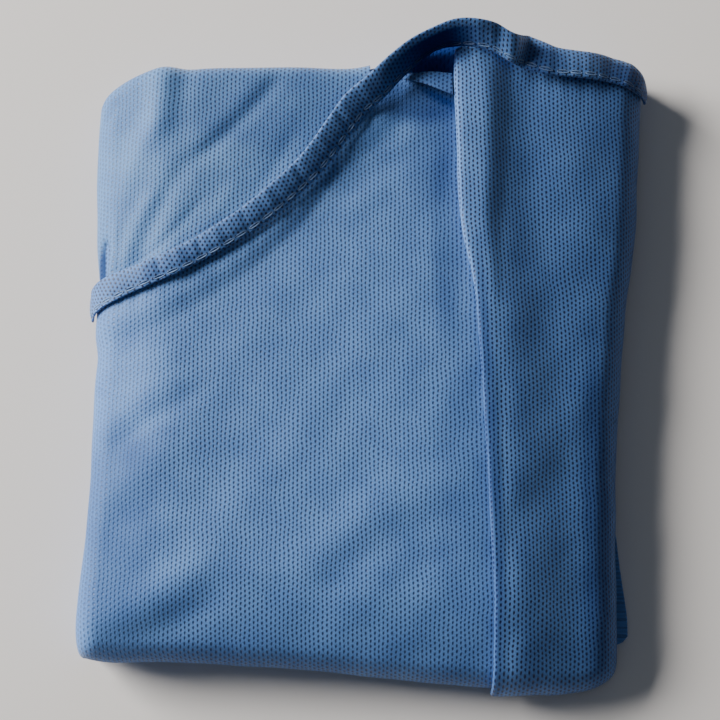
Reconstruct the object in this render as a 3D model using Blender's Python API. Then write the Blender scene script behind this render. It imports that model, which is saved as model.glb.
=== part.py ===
"""Surgical gown of blue nonwoven cloth, folded into a flat bundle with its front and neckline on top.

The bundle lies on its back on a surface. +X runs across it, +Y from the near end up to the neck
and +Z up. Sizes are in millimetres until a mesh is made, and every piece is worked out on one
form: the top of the hidden layers, with its edges rolled down. A piece's place on that form is
(across, along), measured over the cloth, and its lift is its height off the form along the normal.
"""

import math
from collections import namedtuple

import bpy
import numpy as np

METRE = 0.001

CLOTH = 1.0
SEAM_GAP = 0.35

# Outline of the hidden layers: left and right folds by distance along
Side = namedtuple("Side", "along left right")
SIDES = (
    Side(-122.0, -96.5, 88.5),
    Side(-110.0, -97.0, 89.5),
    Side(-97.0, -98.5, 90.0),
    Side(-71.0, -97.0, 90.0),
    Side(-42.0, -95.5, 91.2),
    Side(-13.0, -95.5, 93.2),
    Side(20.0, -94.0, 96.6),
    Side(50.0, -96.5, 101.0),
    Side(82.0, -97.0, 103.5),
    Side(104.0, -96.5, 105.0),
)

# Outline of the hidden layers: near and far ends by distance across
End = namedtuple("End", "across near far")
ENDS = (
    End(-98.0, -104.0, 100.3),
    End(-91.0, -105.0, 104.8),
    End(-77.0, -105.0, 110.0),
    End(-60.0, -105.5, 110.3),
    End(-21.0, -107.8, 110.9),
    End(0.0, -109.8, 110.8),
    End(12.0, -111.0, 114.2),
    End(24.0, -112.2, 119.2),
    End(36.0, -113.3, 122.0),
    End(48.0, -114.2, 122.0),
    End(62.0, -114.8, 120.4),
    End(70.0, -116.0, 119.2),
    End(80.0, -115.0, 118.0),
    End(92.0, -110.0, 116.2),
    End(104.0, -106.5, 113.0),
)

# Crown of the stack: its height across, and what that changes by along
Crown = namedtuple("Crown", "place height")
CROWN_ACROSS = (
    Crown(-100.0, 13.6),
    Crown(-91.0, 17.0),
    Crown(-82.0, 20.4),
    Crown(-75.0, 22.7),
    Crown(-69.0, 23.8),
    Crown(-62.0, 24.2),
    Crown(-48.0, 24.3),
    Crown(0.0, 24.4),
    Crown(28.0, 24.4),
    Crown(40.0, 24.1),
    Crown(46.0, 23.6),
    Crown(52.0, 22.8),
    Crown(60.0, 21.6),
    Crown(72.0, 19.4),
    Crown(82.0, 17.1),
    Crown(90.0, 14.8),
    Crown(100.0, 11.4),
)
CROWN_ALONG = (
    Crown(-125.0, -14.0),
    Crown(-115.0, -10.6),
    Crown(-106.0, -7.2),
    Crown(-98.0, -4.2),
    Crown(-92.0, -2.2),
    Crown(-86.0, -0.8),
    Crown(-78.0, -0.1),
    Crown(-60.0, 0.0),
    Crown(60.0, 0.0),
    Crown(95.0, -0.6),
    Crown(110.0, -2.0),
    Crown(125.0, -4.0),
)

# The stack's greatest height, and how much of the crown's fall to the left edge each part of the
# length has: the stack is fuller at its near left corner
CROWN_TOP = 24.4
Fall = namedtuple("Fall", "along share")
LEFT_FALL = (
    Fall(-120.0, 0.35),
    Fall(-85.0, 0.42),
    Fall(-50.0, 0.7),
    Fall(-10.0, 0.95),
    Fall(20.0, 1.0),
    Fall(120.0, 1.0),
)

# The crown's right shoulder follows the right edge: it is drawn for an edge at this place
CROWN_RIGHT = 93.0
SHOULDER_FROM = 40.0
SHOULDER_OVER = 45.0

# Rolled edges: a radius for each, the turn where the roll ends, and how far a panel hangs past it
ROLL_LEFT = 7.0
ROLL_RIGHT = 8.0
ROLL_NEAR = 6.0
ROLL_FAR = 5.0
ROLL_TURN = math.radians(78.0)
ROLL_STEPS = 4
HANG = 2.0

# Lips of the hidden layers round the sides
LIPS = 5
LIP_INSET = 0.4
LIP_GROOVE = 1.6
LIP_LEVELS = (0.10, 0.35, 0.85)
FOOT_INSET = 3.0

# Waves that make the lips uneven: turns round the bundle, shift from lip to lip, and depth
Wave = namedtuple("Wave", "turns shift depth")
LIP_WAVES = (Wave(3, 1.7, 0.31), Wave(7, 2.3, 0.19))

# Corner of a low layer that shows past the right edge: how far it stands out by distance along
Corner = namedtuple("Corner", "along reach")
CORNER = (
    Corner(-100.5, 0.0),
    Corner(-99.0, 6.0),
    Corner(-90.0, 5.8),
    Corner(-76.0, 4.2),
    Corner(-62.0, 2.6),
    Corner(-50.0, 0.0),
)
CORNER_LIPS = 2

# Hollow in the stack under the lifted neckline
POCKET_ACROSS = 31.0
POCKET_ALONG = 112.0
POCKET_HALF_WIDTH = 12.0
POCKET_HALF_LENGTH = 6.0
POCKET_DEPTH = 12.5

# Soft diagonal ridges in the top panels
Crease = namedtuple("Crease", "across along turn half_length half_width height")
CREASES = (
    Crease(-76.0, -40.0, 38.0, 24.0, 6.5, 0.44),
    Crease(-70.0, -84.0, 30.0, 30.0, 7.5, 0.5),
    Crease(5.0, -58.0, 28.0, 42.0, 9.0, 0.44),
    Crease(15.0, 15.0, 40.0, 34.0, 12.0, 0.28),
    Crease(-45.0, 82.0, 52.0, 26.0, 7.0, 0.44),
    Crease(-72.0, 84.0, 96.0, 24.0, 6.0, 0.39),
    Crease(16.0, 78.0, 30.0, 16.0, 6.0, 0.33),
)

# Stitched edge of the neck binding on the front panel, with the binding's width and how much
# higher its outer edge stands
Neck = namedtuple("Neck", "across along width rise")
NECK_FRONT = (
    Neck(-99.5, 16.6, 10.5, 0.0),
    Neck(-95.0, 17.8, 10.5, 0.0),
    Neck(-86.0, 21.8, 10.0, 0.1),
    Neck(-75.0, 26.0, 9.2, 0.3),
    Neck(-62.0, 32.0, 8.8, 0.8),
    Neck(-50.0, 38.8, 8.8, 1.6),
    Neck(-37.4, 47.0, 9.0, 2.6),
    Neck(-24.8, 57.4, 9.2, 3.4),
    Neck(-13.8, 68.6, 9.2, 4.0),
    Neck(-4.8, 81.0, 9.4, 4.4),
    Neck(1.0, 89.4, 9.4, 4.7),
)

# The binding where it leaves the cloth and arches over the hollow: both its edges, in space
Arch = namedtuple("Arch", "across along height outer_across outer_along outer_height")
NECK_ARCH = (
    Arch(8.6, 96.8, 27.4, 3.0, 104.4, 32.4),
    Arch(15.0, 104.8, 26.2, 10.6, 111.4, 33.8),
    Arch(21.7, 112.0, 25.0, 18.2, 117.2, 35.2),
    Arch(28.6, 117.0, 25.4, 26.6, 121.3, 36.6),
    Arch(36.0, 118.8, 28.4, 34.8, 124.0, 37.8),
    Arch(42.6, 117.6, 30.0, 42.2, 124.4, 37.2),
    Arch(49.3, 113.8, 30.0, 49.8, 123.4, 34.6),
    Arch(55.0, 110.4, 28.6, 56.6, 120.6, 31.2),
)

# Stitched edge of the binding on the folded part, round the right edge
NECK_FOLD = (
    Neck(60.0, 108.0, 11.4, 0.4),
    Neck(68.0, 106.2, 10.8, 0.2),
    Neck(80.0, 106.0, 9.6, 0.0),
    Neck(92.0, 105.4, 10.0, 0.0),
    Neck(98.0, 104.2, 10.2, 0.0),
    Neck(103.0, 102.6, 9.6, 0.0),
    Neck(107.5, 101.4, 9.0, 0.0),
)
BINDING = 1.4
BINDING_CROWN = 0.35
BINDING_CLEAR = 0.3
BINDING_STATIONS = 96
NECK_STEP = 2.0

# Lift of the binding over the folded part: this much where it lands, and less to the right
FOLD_LIFT = 5.0
FOLD_LIFT_LOSS = 2.6
FOLD_LIFT_FROM = 58.0
FOLD_LIFT_OVER = 38.0

# How much of the panels' raw edges the binding covers
RAW_EDGE = 2.0

# How far the back panel goes: across, and down under the neckline
BACK_TO = 4.0
BACK_UNDER_NECK = 11.0

# The front panel is lifted over the back panel: from this far below the neck edge, and fading,
# and to this far past the back panel's side
FRONT_LIFT_REACH = 24.0
FRONT_LIFT_FADE = 10.0
FRONT_LIFT_PAST = 12.0

# The binding's rise lifts the front panel's edge too, and ends by this place across
RISE_TO = 6.0
RISE_FADE = 8.0

# Top edge of the front panel past the neckline, in the hollow and under the fold
Edge = namedtuple("Edge", "across along")
FRONT_TOP = (
    Edge(2.0, 99.0),
    Edge(8.0, 103.0),
    Edge(14.0, 105.5),
    Edge(30.0, 106.5),
    Edge(54.0, 106.0),
)

# Top edge of the folded part, under its binding
FOLD_TOP = (
    Edge(34.0, 115.0),
    Edge(42.0, 117.4),
    Edge(49.0, 116.8),
    Edge(57.0, 114.4),
    Edge(66.0, 112.6),
    Edge(80.0, 110.4),
    Edge(92.0, 108.8),
    Edge(100.0, 107.2),
    Edge(107.0, 105.0),
)

# The fold over the front panel: its edge, and the roll of cloth along it
Fold = namedtuple("Fold", "along edge radius width")
FOLD = (
    Fold(-130.0, 46.4, 0.75, 3.0),
    Fold(-94.0, 46.8, 0.75, 3.0),
    Fold(-52.0, 45.4, 0.75, 3.2),
    Fold(-23.0, 44.2, 0.75, 3.6),
    Fold(9.0, 42.6, 0.75, 4.6),
    Fold(28.0, 41.0, 0.85, 6.0),
    Fold(46.0, 37.4, 1.1, 8.5),
    Fold(84.0, 35.6, 1.45, 12.0),
    Fold(109.0, 35.2, 1.6, 13.0),
    Fold(120.0, 36.0, 1.6, 13.0),
)
FOLD_TURN_STEPS = 6
FOLD_RETURN = 6.0
FRONT_UNDER_FOLD = 15.0

# Past the edge the fold's cloth keeps a flat band, as wide as the table says and tilted up to the
# right by the neck, and comes down from it to the layers beside the front panel
FOLD_SETTLED = 30.0
FOLD_MIDDLE = 60.0
FOLD_BAND_TILT = 0.9
FOLD_BAND_FROM = 0.75
FOLD_BAND_OVER = 0.95
FOLD_CROWDING = 1.25

# The small fold of the front panel that stands up in the hollow
TUCK_FROM = 16.0
TUCK_TO = 34.0
TUCK_LOW = (Edge(16.0, 104.8), Edge(22.5, 102.8), Edge(28.0, 100.2), Edge(34.0, 97.6))
TUCK_HIGH = (Edge(16.0, 106.4), Edge(24.0, 107.4), Edge(34.0, 106.6))
TUCK_RISE = 2.4
TUCK_RISE_OVER = 14.0
TUCK_SLOPE = 0.6

# Face colours as linear red, green and blue
BLUE = (0.105, 0.235, 0.455, 1.0)
DEEP_BLUE = (0.040, 0.105, 0.240, 1.0)
PALE_BLUE = (0.165, 0.310, 0.500, 1.0)


def column(table, name):
    """One named column of a table, as an array."""
    return np.array([getattr(row, name) for row in table])


def follow(table, key, value, at):
    """Smooth curve through a table's rows: a cubic between two rows, held level past the ends."""
    knots = column(table, key)
    heights = column(table, value)
    slopes = np.gradient(heights, knots)
    at = np.clip(at, knots[0], knots[-1])
    low = np.clip(np.searchsorted(knots, at) - 1, 0, len(knots) - 2)
    span = knots[low + 1] - knots[low]
    t = (at - knots[low]) / span
    rise = t * t * (3 - 2 * t)
    return (
        heights[low] * (1 - rise)
        + heights[low + 1] * rise
        + slopes[low] * span * t * (1 - t) ** 2
        - slopes[low + 1] * span * t * t * (1 - t)
    )


def ease(t):
    """Smooth step from 0 to 1."""
    t = np.clip(t, 0.0, 1.0)
    return t * t * (3 - 2 * t)


def roll(past, radius):
    """Run and drop of cloth that has gone this far past where an edge starts to roll down."""
    bent = np.clip(past, 0.0, radius * ROLL_TURN)
    straight = np.maximum(past - radius * ROLL_TURN, 0.0)
    run = radius * np.sin(bent / radius) + straight * math.cos(ROLL_TURN)
    drop = radius * (1 - np.cos(bent / radius)) + straight * math.sin(ROLL_TURN)
    return run, drop


def roll_starts(across, along):
    """Where the four edges start to roll: left, right, near and far."""
    reach = math.sin(ROLL_TURN)
    left = follow(SIDES, "along", "left", along) + ROLL_LEFT * reach
    right = follow(SIDES, "along", "right", along) - ROLL_RIGHT * reach
    near = follow(ENDS, "across", "near", across) + ROLL_NEAR * reach
    far = follow(ENDS, "across", "far", across) - ROLL_FAR * reach
    return left, right, near, far


def form(across, along):
    """The form's points: the crown of the stack, rolled down round its four edges."""
    left, right, near, far = roll_starts(across, along)
    left_run, left_drop = roll(left - across, ROLL_LEFT)
    right_run, right_drop = roll(across - right, ROLL_RIGHT)
    near_run, near_drop = roll(near - along, ROLL_NEAR)
    far_run, far_drop = roll(along - far, ROLL_FAR)
    x = np.clip(across, left, right) - left_run + right_run
    y = np.clip(along, near, far) - near_run + far_run
    shoulder = ease((x - SHOULDER_FROM) / SHOULDER_OVER)
    moved = x - shoulder * (follow(SIDES, "along", "right", y) - CROWN_RIGHT)
    fall = CROWN_TOP - follow(CROWN_ACROSS, "place", "height", moved)
    fall = fall * np.where(x < 0, follow(LEFT_FALL, "along", "share", y), 1.0)
    crown = CROWN_TOP - np.hypot(fall, follow(CROWN_ALONG, "place", "height", y))
    z = crown - np.hypot(left_drop + right_drop, near_drop + far_drop)
    return np.stack([x, y, z], axis=-1)


def cloth(across, along, lift):
    """Points at a lift off the form, along its normal."""
    step = 0.05
    turn = np.cross(
        form(across + step, along) - form(across - step, along),
        form(across, along + step) - form(across, along - step),
    )
    normal = turn / np.linalg.norm(turn, axis=-1, keepdims=True)
    return form(across, along) + np.asarray(lift)[..., None] * normal


def creases(across, along):
    """Height of the soft ridges: each a long bell turned to its own angle."""
    total = np.zeros(np.shape(across))
    for crease in CREASES:
        turn = math.radians(crease.turn)
        dx = across - crease.across
        dy = along - crease.along
        along_it = (dx * math.cos(turn) + dy * math.sin(turn)) / crease.half_length
        over_it = (dy * math.cos(turn) - dx * math.sin(turn)) / crease.half_width
        total += crease.height * np.exp(-(along_it**2) - over_it**2)
    return total


def stations(*stretches):
    """Values along stretches of (start, stop, steps), joined end to end."""
    values = [np.linspace(start, stop, steps, endpoint=False) for start, stop, steps in stretches]
    return np.concatenate(values + [[stretches[-1][1]]])


def rolled(radius, hang=0.0):
    """Distances past the start of a rolled edge: up to its end, and on to a panel's hem."""
    past = radius * ROLL_TURN * np.arange(1, ROLL_STEPS + 1) / ROLL_STEPS
    if hang:
        past = np.concatenate([past, [past[-1] + hang]])
    return past


def spacing(before, share, after):
    """Steps of a grid, in order: past its start, shares of the way to its end, past its end."""
    none_before = np.zeros(len(before))
    none_after = np.zeros(len(after))
    level = np.zeros(len(share))
    return (
        np.concatenate([before[::-1], level, none_after]),
        np.concatenate([none_before, share, none_after + 1.0]),
        np.concatenate([none_before, level, after]),
    )


def between(ends, steps):
    """Places at a spacing's steps between two ends."""
    start, stop = ends
    before, share, after = steps
    return start - before + (stop - start) * share + after


def lay_grid(columns, rows, across_ends, along_ends):
    """Places of a grid whose ends across depend on along, and the other way round."""
    row_steps = [step[:, None] for step in rows]
    across = np.zeros((len(rows[0]), len(columns[0])))
    for _ in range(6):
        along = between(along_ends(across), row_steps)
        across = between(across_ends(along), columns)
    return across, along


def grid_faces(rows, columns, offset=0):
    """Quads of a grid of points, numbered from an offset."""
    index = np.arange(rows * columns).reshape(rows, columns) + offset
    corners = [index[:-1, :-1], index[:-1, 1:], index[1:, 1:], index[1:, :-1]]
    return np.stack(corners, axis=-1).reshape(-1, 4)


def grid_border(rows, columns):
    """Numbers of a grid's border points, in order round it."""
    index = np.arange(rows * columns).reshape(rows, columns)
    return np.concatenate([index[0, :-1], index[:-1, -1], index[-1, :0:-1], index[:0:-1, 0]])


def grid_normals(points):
    """Unit normals of a grid of points, from its neighbours across and along."""
    turn = np.cross(np.gradient(points, axis=1), np.gradient(points, axis=0))
    return turn / np.linalg.norm(turn, axis=-1, keepdims=True)


def paint(name, colour):
    """A nonwoven cloth material of one colour."""
    material = bpy.data.materials.new(name)
    material.use_nodes = True
    shader = material.node_tree.nodes["Principled BSDF"]
    shader.inputs["Base Color"].default_value = colour
    shader.inputs["Roughness"].default_value = 0.75
    shader.inputs["Metallic"].default_value = 0.0
    return material


def add_object(name, points, faces, material):
    """A mesh object from points in millimetres and faces."""
    mesh = bpy.data.meshes.new(name)
    mesh.from_pydata((points * METRE).tolist(), [], [list(map(int, face)) for face in faces])
    mesh.validate()
    mesh.materials.append(material)
    mesh.shade_smooth()
    mesh.set_sharp_from_angle(angle=math.radians(40.0))
    made = bpy.data.objects.new(name, mesh)
    bpy.context.scene.collection.objects.link(made)
    return made


def add_wall(name, inner, thickness, material):
    """A wall of cloth: a grid of inner points, the same grid moved out, and a rim between them."""
    rows, columns = inner.shape[:2]
    outer = inner + np.asarray(thickness)[..., None] * grid_normals(inner)
    points = np.concatenate([inner.reshape(-1, 3), outer.reshape(-1, 3)])
    count = rows * columns
    border = grid_border(rows, columns)
    after = np.roll(border, -1)
    rim = np.stack([border, after, after + count, border + count], axis=-1)
    faces = np.concatenate(
        [grid_faces(rows, columns)[:, ::-1], grid_faces(rows, columns, count), rim]
    )
    return add_object(name, points, faces, material)


def lip_insets(border, level, lip):
    """How far one ring of the sides stands in from the top's border, uneven along its length."""
    angle = np.arctan2(border[:, 1], border[:, 0])
    inset = LIP_INSET + sum(wave.depth for wave in LIP_WAVES) + np.zeros(len(border))
    for wave in LIP_WAVES:
        inset += wave.depth * np.sin(wave.turns * angle + wave.shift * lip)
    if level == 0:
        inset += LIP_GROOVE
    if lip < LIPS - CORNER_LIPS:
        return inset
    corner = np.interp(border[:, 1], column(CORNER, "along"), column(CORNER, "reach"))
    corner = corner * (border[:, 0] > 0)
    return inset * (1 - ease(corner)) - corner


def add_folded_body(material):
    """The hidden layers as one solid: a crowned top, lips round the sides and a flat underside."""
    columns = stations((0.0, 0.50, 9), (0.50, 0.69, 6), (0.69, 1.0, 7))
    rows = stations((0.0, 0.14, 5), (0.14, 0.80, 10), (0.80, 1.0, 6))
    across, along = lay_grid(
        spacing(rolled(ROLL_LEFT), columns, rolled(ROLL_RIGHT)),
        spacing(rolled(ROLL_NEAR), rows, rolled(ROLL_FAR)),
        lambda along: roll_starts(0.0 * along, along)[:2],
        lambda across: roll_starts(across, 0.0 * across)[2:],
    )
    top = form(across, along)
    bell = ((top[..., 0] - POCKET_ACROSS) / POCKET_HALF_WIDTH) ** 2
    bell = bell + ((top[..., 1] - POCKET_ALONG) / POCKET_HALF_LENGTH) ** 2
    top[..., 2] -= POCKET_DEPTH * np.exp(-bell)
    rows, columns = top.shape[:2]
    border_index = grid_border(rows, columns)
    border = top.reshape(-1, 3)[border_index]
    ahead = np.roll(border, -1, axis=0) - np.roll(border, 1, axis=0)
    outward = np.stack([ahead[:, 1], -ahead[:, 0]], axis=-1)
    outward = outward / np.linalg.norm(outward, axis=-1, keepdims=True)
    rings = []
    for lip in range(LIPS):
        for level, depth in enumerate(LIP_LEVELS):
            ring = border.copy()
            ring[:, 2] *= 1 - (lip + depth) / LIPS
            ring[:, :2] -= outward * lip_insets(border, level, lip)[:, None]
            rings.append(ring)
    foot = border.copy()
    foot[:, :2] -= outward * FOOT_INSET
    foot[:, 2] = 0.0
    rings.append(foot)
    points = np.concatenate([top.reshape(-1, 3)] + rings)
    faces = [list(face) for face in grid_faces(rows, columns)]
    above = border_index
    for number in range(len(rings)):
        below = rows * columns + number * len(border) + np.arange(len(border))
        quads = np.stack([above, below, np.roll(below, -1), np.roll(above, -1)], axis=-1)
        faces.extend(list(face) for face in quads)
        above = below
    faces.append(list(above[::-1]))
    return add_object("folded_body", points, faces, material)


def neck_edges(table):
    """The binding's stitched edge and outer edge on the form, as (across, along) rows."""
    knots = column(table, "across")
    across = np.linspace(knots[0], knots[-1], 1 + round((knots[-1] - knots[0]) / NECK_STEP))
    stitched = np.stack([across, follow(table, "across", "along", across)], axis=-1)
    ahead = np.gradient(stitched, axis=0)
    side = np.stack([-ahead[:, 1], ahead[:, 0]], axis=-1)
    side = side / np.linalg.norm(side, axis=-1, keepdims=True)
    return stitched, stitched + side * follow(table, "across", "width", across)[:, None]


def front_top(across):
    """How far up the front panel's cloth goes: to the binding's outer edge, less a raw edge."""
    _, outer = neck_edges(NECK_FRONT)
    past = np.stack([column(FRONT_TOP, "across"), column(FRONT_TOP, "along")], axis=-1)
    curve = np.concatenate([outer[:-1] - np.array([0.0, RAW_EDGE]), past[1:]])
    return np.interp(across, curve[:, 0], curve[:, 1])


def front_lift(across, along):
    """Lift of the front panel's inner face: over the back panel by the neckline, and else low."""
    top = front_top(across)
    over_back = ease((along - top + FRONT_LIFT_REACH) / FRONT_LIFT_FADE)
    on_left = ease((BACK_TO + FRONT_LIFT_PAST - across) / FRONT_LIFT_FADE)
    seam = follow(NECK_FRONT, "across", "along", across)
    over_seam = np.clip((along - seam) / (top + RAW_EDGE - seam), 0.0, 1.0)
    rise = follow(NECK_FRONT, "across", "rise", across) * ease((RISE_TO - across) / RISE_FADE)
    lift = SEAM_GAP + (CLOTH + SEAM_GAP) * over_back * on_left + rise * over_seam
    return lift + creases(across, along)


def add_back_panel(material):
    """The back's inner face, seen above the neckline: it rolls over the left edge and far end."""
    across, along = lay_grid(
        spacing(rolled(ROLL_LEFT, HANG), stations((0.0, 1.0, 11)), np.zeros(0)),
        spacing(np.zeros(0), stations((0.0, 1.0, 10)), rolled(ROLL_FAR, HANG)),
        lambda along: (roll_starts(0.0 * along, along)[0], BACK_TO),
        lambda across: (front_top(across) - BACK_UNDER_NECK, roll_starts(across, 0.0 * across)[3]),
    )
    inner = cloth(across, along, SEAM_GAP + creases(across, along))
    return add_wall("back_panel", inner, CLOTH, material)


def fold_edge(along):
    """How far across the fold's edge lies."""
    return follow(FOLD, "along", "edge", along)


def add_front_panel(material):
    """The front: from the left edge to under the fold at the right, and up to the neckline."""
    rows = stations((0.0, 0.14, 6), (0.14, 0.93, 16), (0.93, 1.0, 4))
    across, along = lay_grid(
        spacing(rolled(ROLL_LEFT, HANG), stations((0.0, 1.0, 20)), np.zeros(0)),
        spacing(rolled(ROLL_NEAR, HANG), rows, np.zeros(0)),
        lambda along: (roll_starts(0.0 * along, along)[0], fold_edge(along) + FRONT_UNDER_FOLD),
        lambda across: (roll_starts(across, 0.0 * across)[2], front_top(across)),
    )
    inner = cloth(across, along, front_lift(across, along))
    return add_wall("front_panel", inner, CLOTH, material)


def add_front_fold(material):
    """The front's cloth folded back over itself: a short return, a turned edge and a top sheet."""
    bend = -np.linspace(0.5 * math.pi, 1.5 * math.pi, FOLD_TURN_STEPS)
    share = stations((0.0, 1.0, 14))[1:] ** FOLD_CROWDING
    past = rolled(ROLL_RIGHT, HANG)
    turned = slice(2, 2 + len(bend))
    sheet = slice(2 + len(bend), 2 + len(bend) + len(share))
    side = slice(sheet.stop, sheet.stop + len(past))
    rows = stations((0.0, 0.14, 6), (0.14, 0.80, 10), (0.80, 1.0, 6))
    rows = spacing(rolled(ROLL_NEAR, HANG), rows, np.zeros(0))
    row_steps = [step[:, None] for step in rows]
    across = np.full((len(rows[0]), side.stop), FOLD_MIDDLE)
    for _ in range(6):
        high = follow(FOLD_TOP, "across", "along", across)
        along = between((roll_starts(across, 0.0 * across)[2], high), row_steps)
        radius = follow(FOLD, "along", "radius", along)
        edge = fold_edge(along)
        full = roll_starts(0.0 * along, along)[1] - edge
        over = np.zeros(along.shape)
        over[:, 0] = FOLD_RETURN
        over[:, 1] = (radius[:, 1] + FOLD_RETURN) / 2
        over[:, turned] = radius[:, turned] * (1 + np.cos(bend))
        over[:, sheet] = radius[:, sheet] + (full - radius)[:, sheet] * share
        over[:, side] = full[:, side] + past
        across = edge + over
    width = follow(FOLD, "along", "width", along)
    under = front_lift(across, along) + CLOTH + SEAM_GAP + CLOTH / 2
    settled = ease((over - FOLD_RETURN) / (FOLD_SETTLED - FOLD_RETURN))
    rest = under + (CLOTH + SEAM_GAP) - settled * 2 * (CLOTH + SEAM_GAP)
    band = 1 - ease((over / width - FOLD_BAND_FROM) / FOLD_BAND_OVER)
    wider = (width - FOLD[0].width) / (FOLD[-1].width - FOLD[0].width)
    tilt = FOLD_BAND_TILT * wider * np.clip(over / width, 0.0, 1.0)
    lift = rest + (2 * radius - CLOTH - SEAM_GAP + tilt) * band
    lift[:, :2] = under[:, :2]
    lift[:, turned] = under[:, turned] + radius[:, turned] * (1 + np.sin(bend))
    middle = cloth(across, along, lift)
    inner = middle - CLOTH / 2 * grid_normals(middle)
    return add_wall("front_fold", inner, CLOTH, material)


def add_neck_tuck(material):
    """The small piece of the front that stands up in the hollow, seen under the arch."""
    share = stations((0.0, 1.0, 4))
    across = np.tile(stations((TUCK_FROM, TUCK_TO, 6)), (len(share), 1))
    low = follow(TUCK_LOW, "across", "along", across)
    high = follow(TUCK_HIGH, "across", "along", across)
    along = low + (high - low) * share[:, None]
    rise = TUCK_RISE * ease((across - TUCK_FROM) / TUCK_RISE_OVER)
    rise = rise * (1 - TUCK_SLOPE * share[:, None])
    lift = front_lift(across, along) + CLOTH + SEAM_GAP + rise
    return add_wall("neck_tuck", cloth(across, along, lift), CLOTH, material)


def smooth_path(length, points, at):
    """Points along a smooth curve through a path's points, by its length."""
    Row = namedtuple("Row", "length x y z")
    rows = [Row(place, *point) for place, point in zip(length, points)]
    return np.stack([follow(rows, "length", name, at) for name in "xyz"], axis=-1)


def add_neck_binding(material):
    """One strip over the raw neck edge: on the front, in an arch over the hollow, on the fold."""
    front_in, front_out = neck_edges(NECK_FRONT)
    fold_in, fold_out = neck_edges(NECK_FOLD)
    on_front = SEAM_GAP + 2 * (CLOTH + SEAM_GAP) + BINDING_CLEAR
    edges = []
    for side, (on_cloth, on_fold) in enumerate(((front_in, fold_in), (front_out, fold_out))):
        cloth_rise = side * follow(NECK_FRONT, "across", "rise", front_in[:, 0])
        fold_rise = side * follow(NECK_FOLD, "across", "rise", fold_in[:, 0])
        loss = FOLD_LIFT_LOSS * ease((on_fold[:, 0] - FOLD_LIFT_FROM) / FOLD_LIFT_OVER)
        cloth_lift = on_front + creases(on_cloth[:, 0], on_cloth[:, 1]) + cloth_rise
        names = [("outer_" if side else "") + name for name in ("across", "along", "height")]
        stretches = [
            cloth(on_cloth[:, 0], on_cloth[:, 1], cloth_lift),
            np.stack([column(NECK_ARCH, name) for name in names], axis=-1),
            cloth(on_fold[:, 0], on_fold[:, 1], FOLD_LIFT - loss + fold_rise),
        ]
        edges.append(np.concatenate(stretches))
    middle = (edges[0] + edges[1]) / 2
    steps = np.linalg.norm(np.diff(middle, axis=0), axis=1)
    length = np.concatenate([[0.0], np.cumsum(steps)])
    at = np.linspace(0.0, length[-1], BINDING_STATIONS)
    smooth = [smooth_path(length, edge, at) for edge in edges]
    centre = (smooth[0] + smooth[1]) / 2
    inner = np.stack([smooth[0], centre, smooth[1]])
    thickness = np.full(inner.shape[:2], BINDING)
    thickness[1] += BINDING_CROWN
    return add_wall("neck_binding", inner, thickness, material)


def centre_on_floor(objects):
    """Move every mesh so that the whole stands on z = 0 with its outline's middle over the origin."""
    corners = np.array([vertex.co for made in objects for vertex in made.data.vertices])
    low = corners.min(axis=0)
    high = corners.max(axis=0)
    shift = np.array([-(low[0] + high[0]) / 2, -(low[1] + high[1]) / 2, -low[2]])
    for made in objects:
        for vertex in made.data.vertices:
            vertex.co = np.array(vertex.co) + shift


def build():
    for old in list(bpy.data.objects):
        bpy.data.objects.remove(old, do_unlink=True)
    outside = paint("nonwoven_blue", BLUE)
    inside = paint("nonwoven_blue_inner", PALE_BLUE)
    deep = paint("nonwoven_blue_binding", DEEP_BLUE)
    made = [
        add_folded_body(outside),
        add_back_panel(inside),
        add_front_panel(outside),
        add_front_fold(outside),
        add_neck_tuck(outside),
        add_neck_binding(deep),
    ]
    centre_on_floor(made)


build()
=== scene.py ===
"""Disposable surgical gown of blue nonwoven cloth, folded into a flat bundle and laid on its back.

Every piece is worked out in millimetres on a plan with +X across the bundle, +Y up to the neck and
+Z up, and is moved to the row's frame, in metres, when its mesh is made. A piece's place is
(across, along), measured over the cloth, and its lift is its height off the stack's rounded form.
"""

import math
from collections import namedtuple

import bpy
import numpy as np
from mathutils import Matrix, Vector


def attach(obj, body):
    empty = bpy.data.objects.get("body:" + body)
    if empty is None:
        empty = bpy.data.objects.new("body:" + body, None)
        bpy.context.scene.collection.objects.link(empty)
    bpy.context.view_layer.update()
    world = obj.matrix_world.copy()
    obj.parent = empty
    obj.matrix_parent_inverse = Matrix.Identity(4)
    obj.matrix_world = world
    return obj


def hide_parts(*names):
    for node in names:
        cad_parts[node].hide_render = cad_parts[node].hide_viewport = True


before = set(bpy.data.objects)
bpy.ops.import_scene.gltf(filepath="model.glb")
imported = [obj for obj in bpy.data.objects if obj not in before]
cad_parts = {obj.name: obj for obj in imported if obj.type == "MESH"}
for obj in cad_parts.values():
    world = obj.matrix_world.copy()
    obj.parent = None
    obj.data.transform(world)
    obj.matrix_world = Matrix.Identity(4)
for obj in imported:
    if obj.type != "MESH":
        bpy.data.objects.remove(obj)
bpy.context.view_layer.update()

# The stack of hidden layers: the skirt, the sleeves, the ties and the rest of the back.
# It is about 45 layers of the same cloth folded under the front. Their folds show round the sides
# as soft uneven lips, and the lowest layer is pressed flat by the weight of the rest.

MILLIMETRE = 0.001
MIDDLE = (4.35, 2.83)

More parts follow.
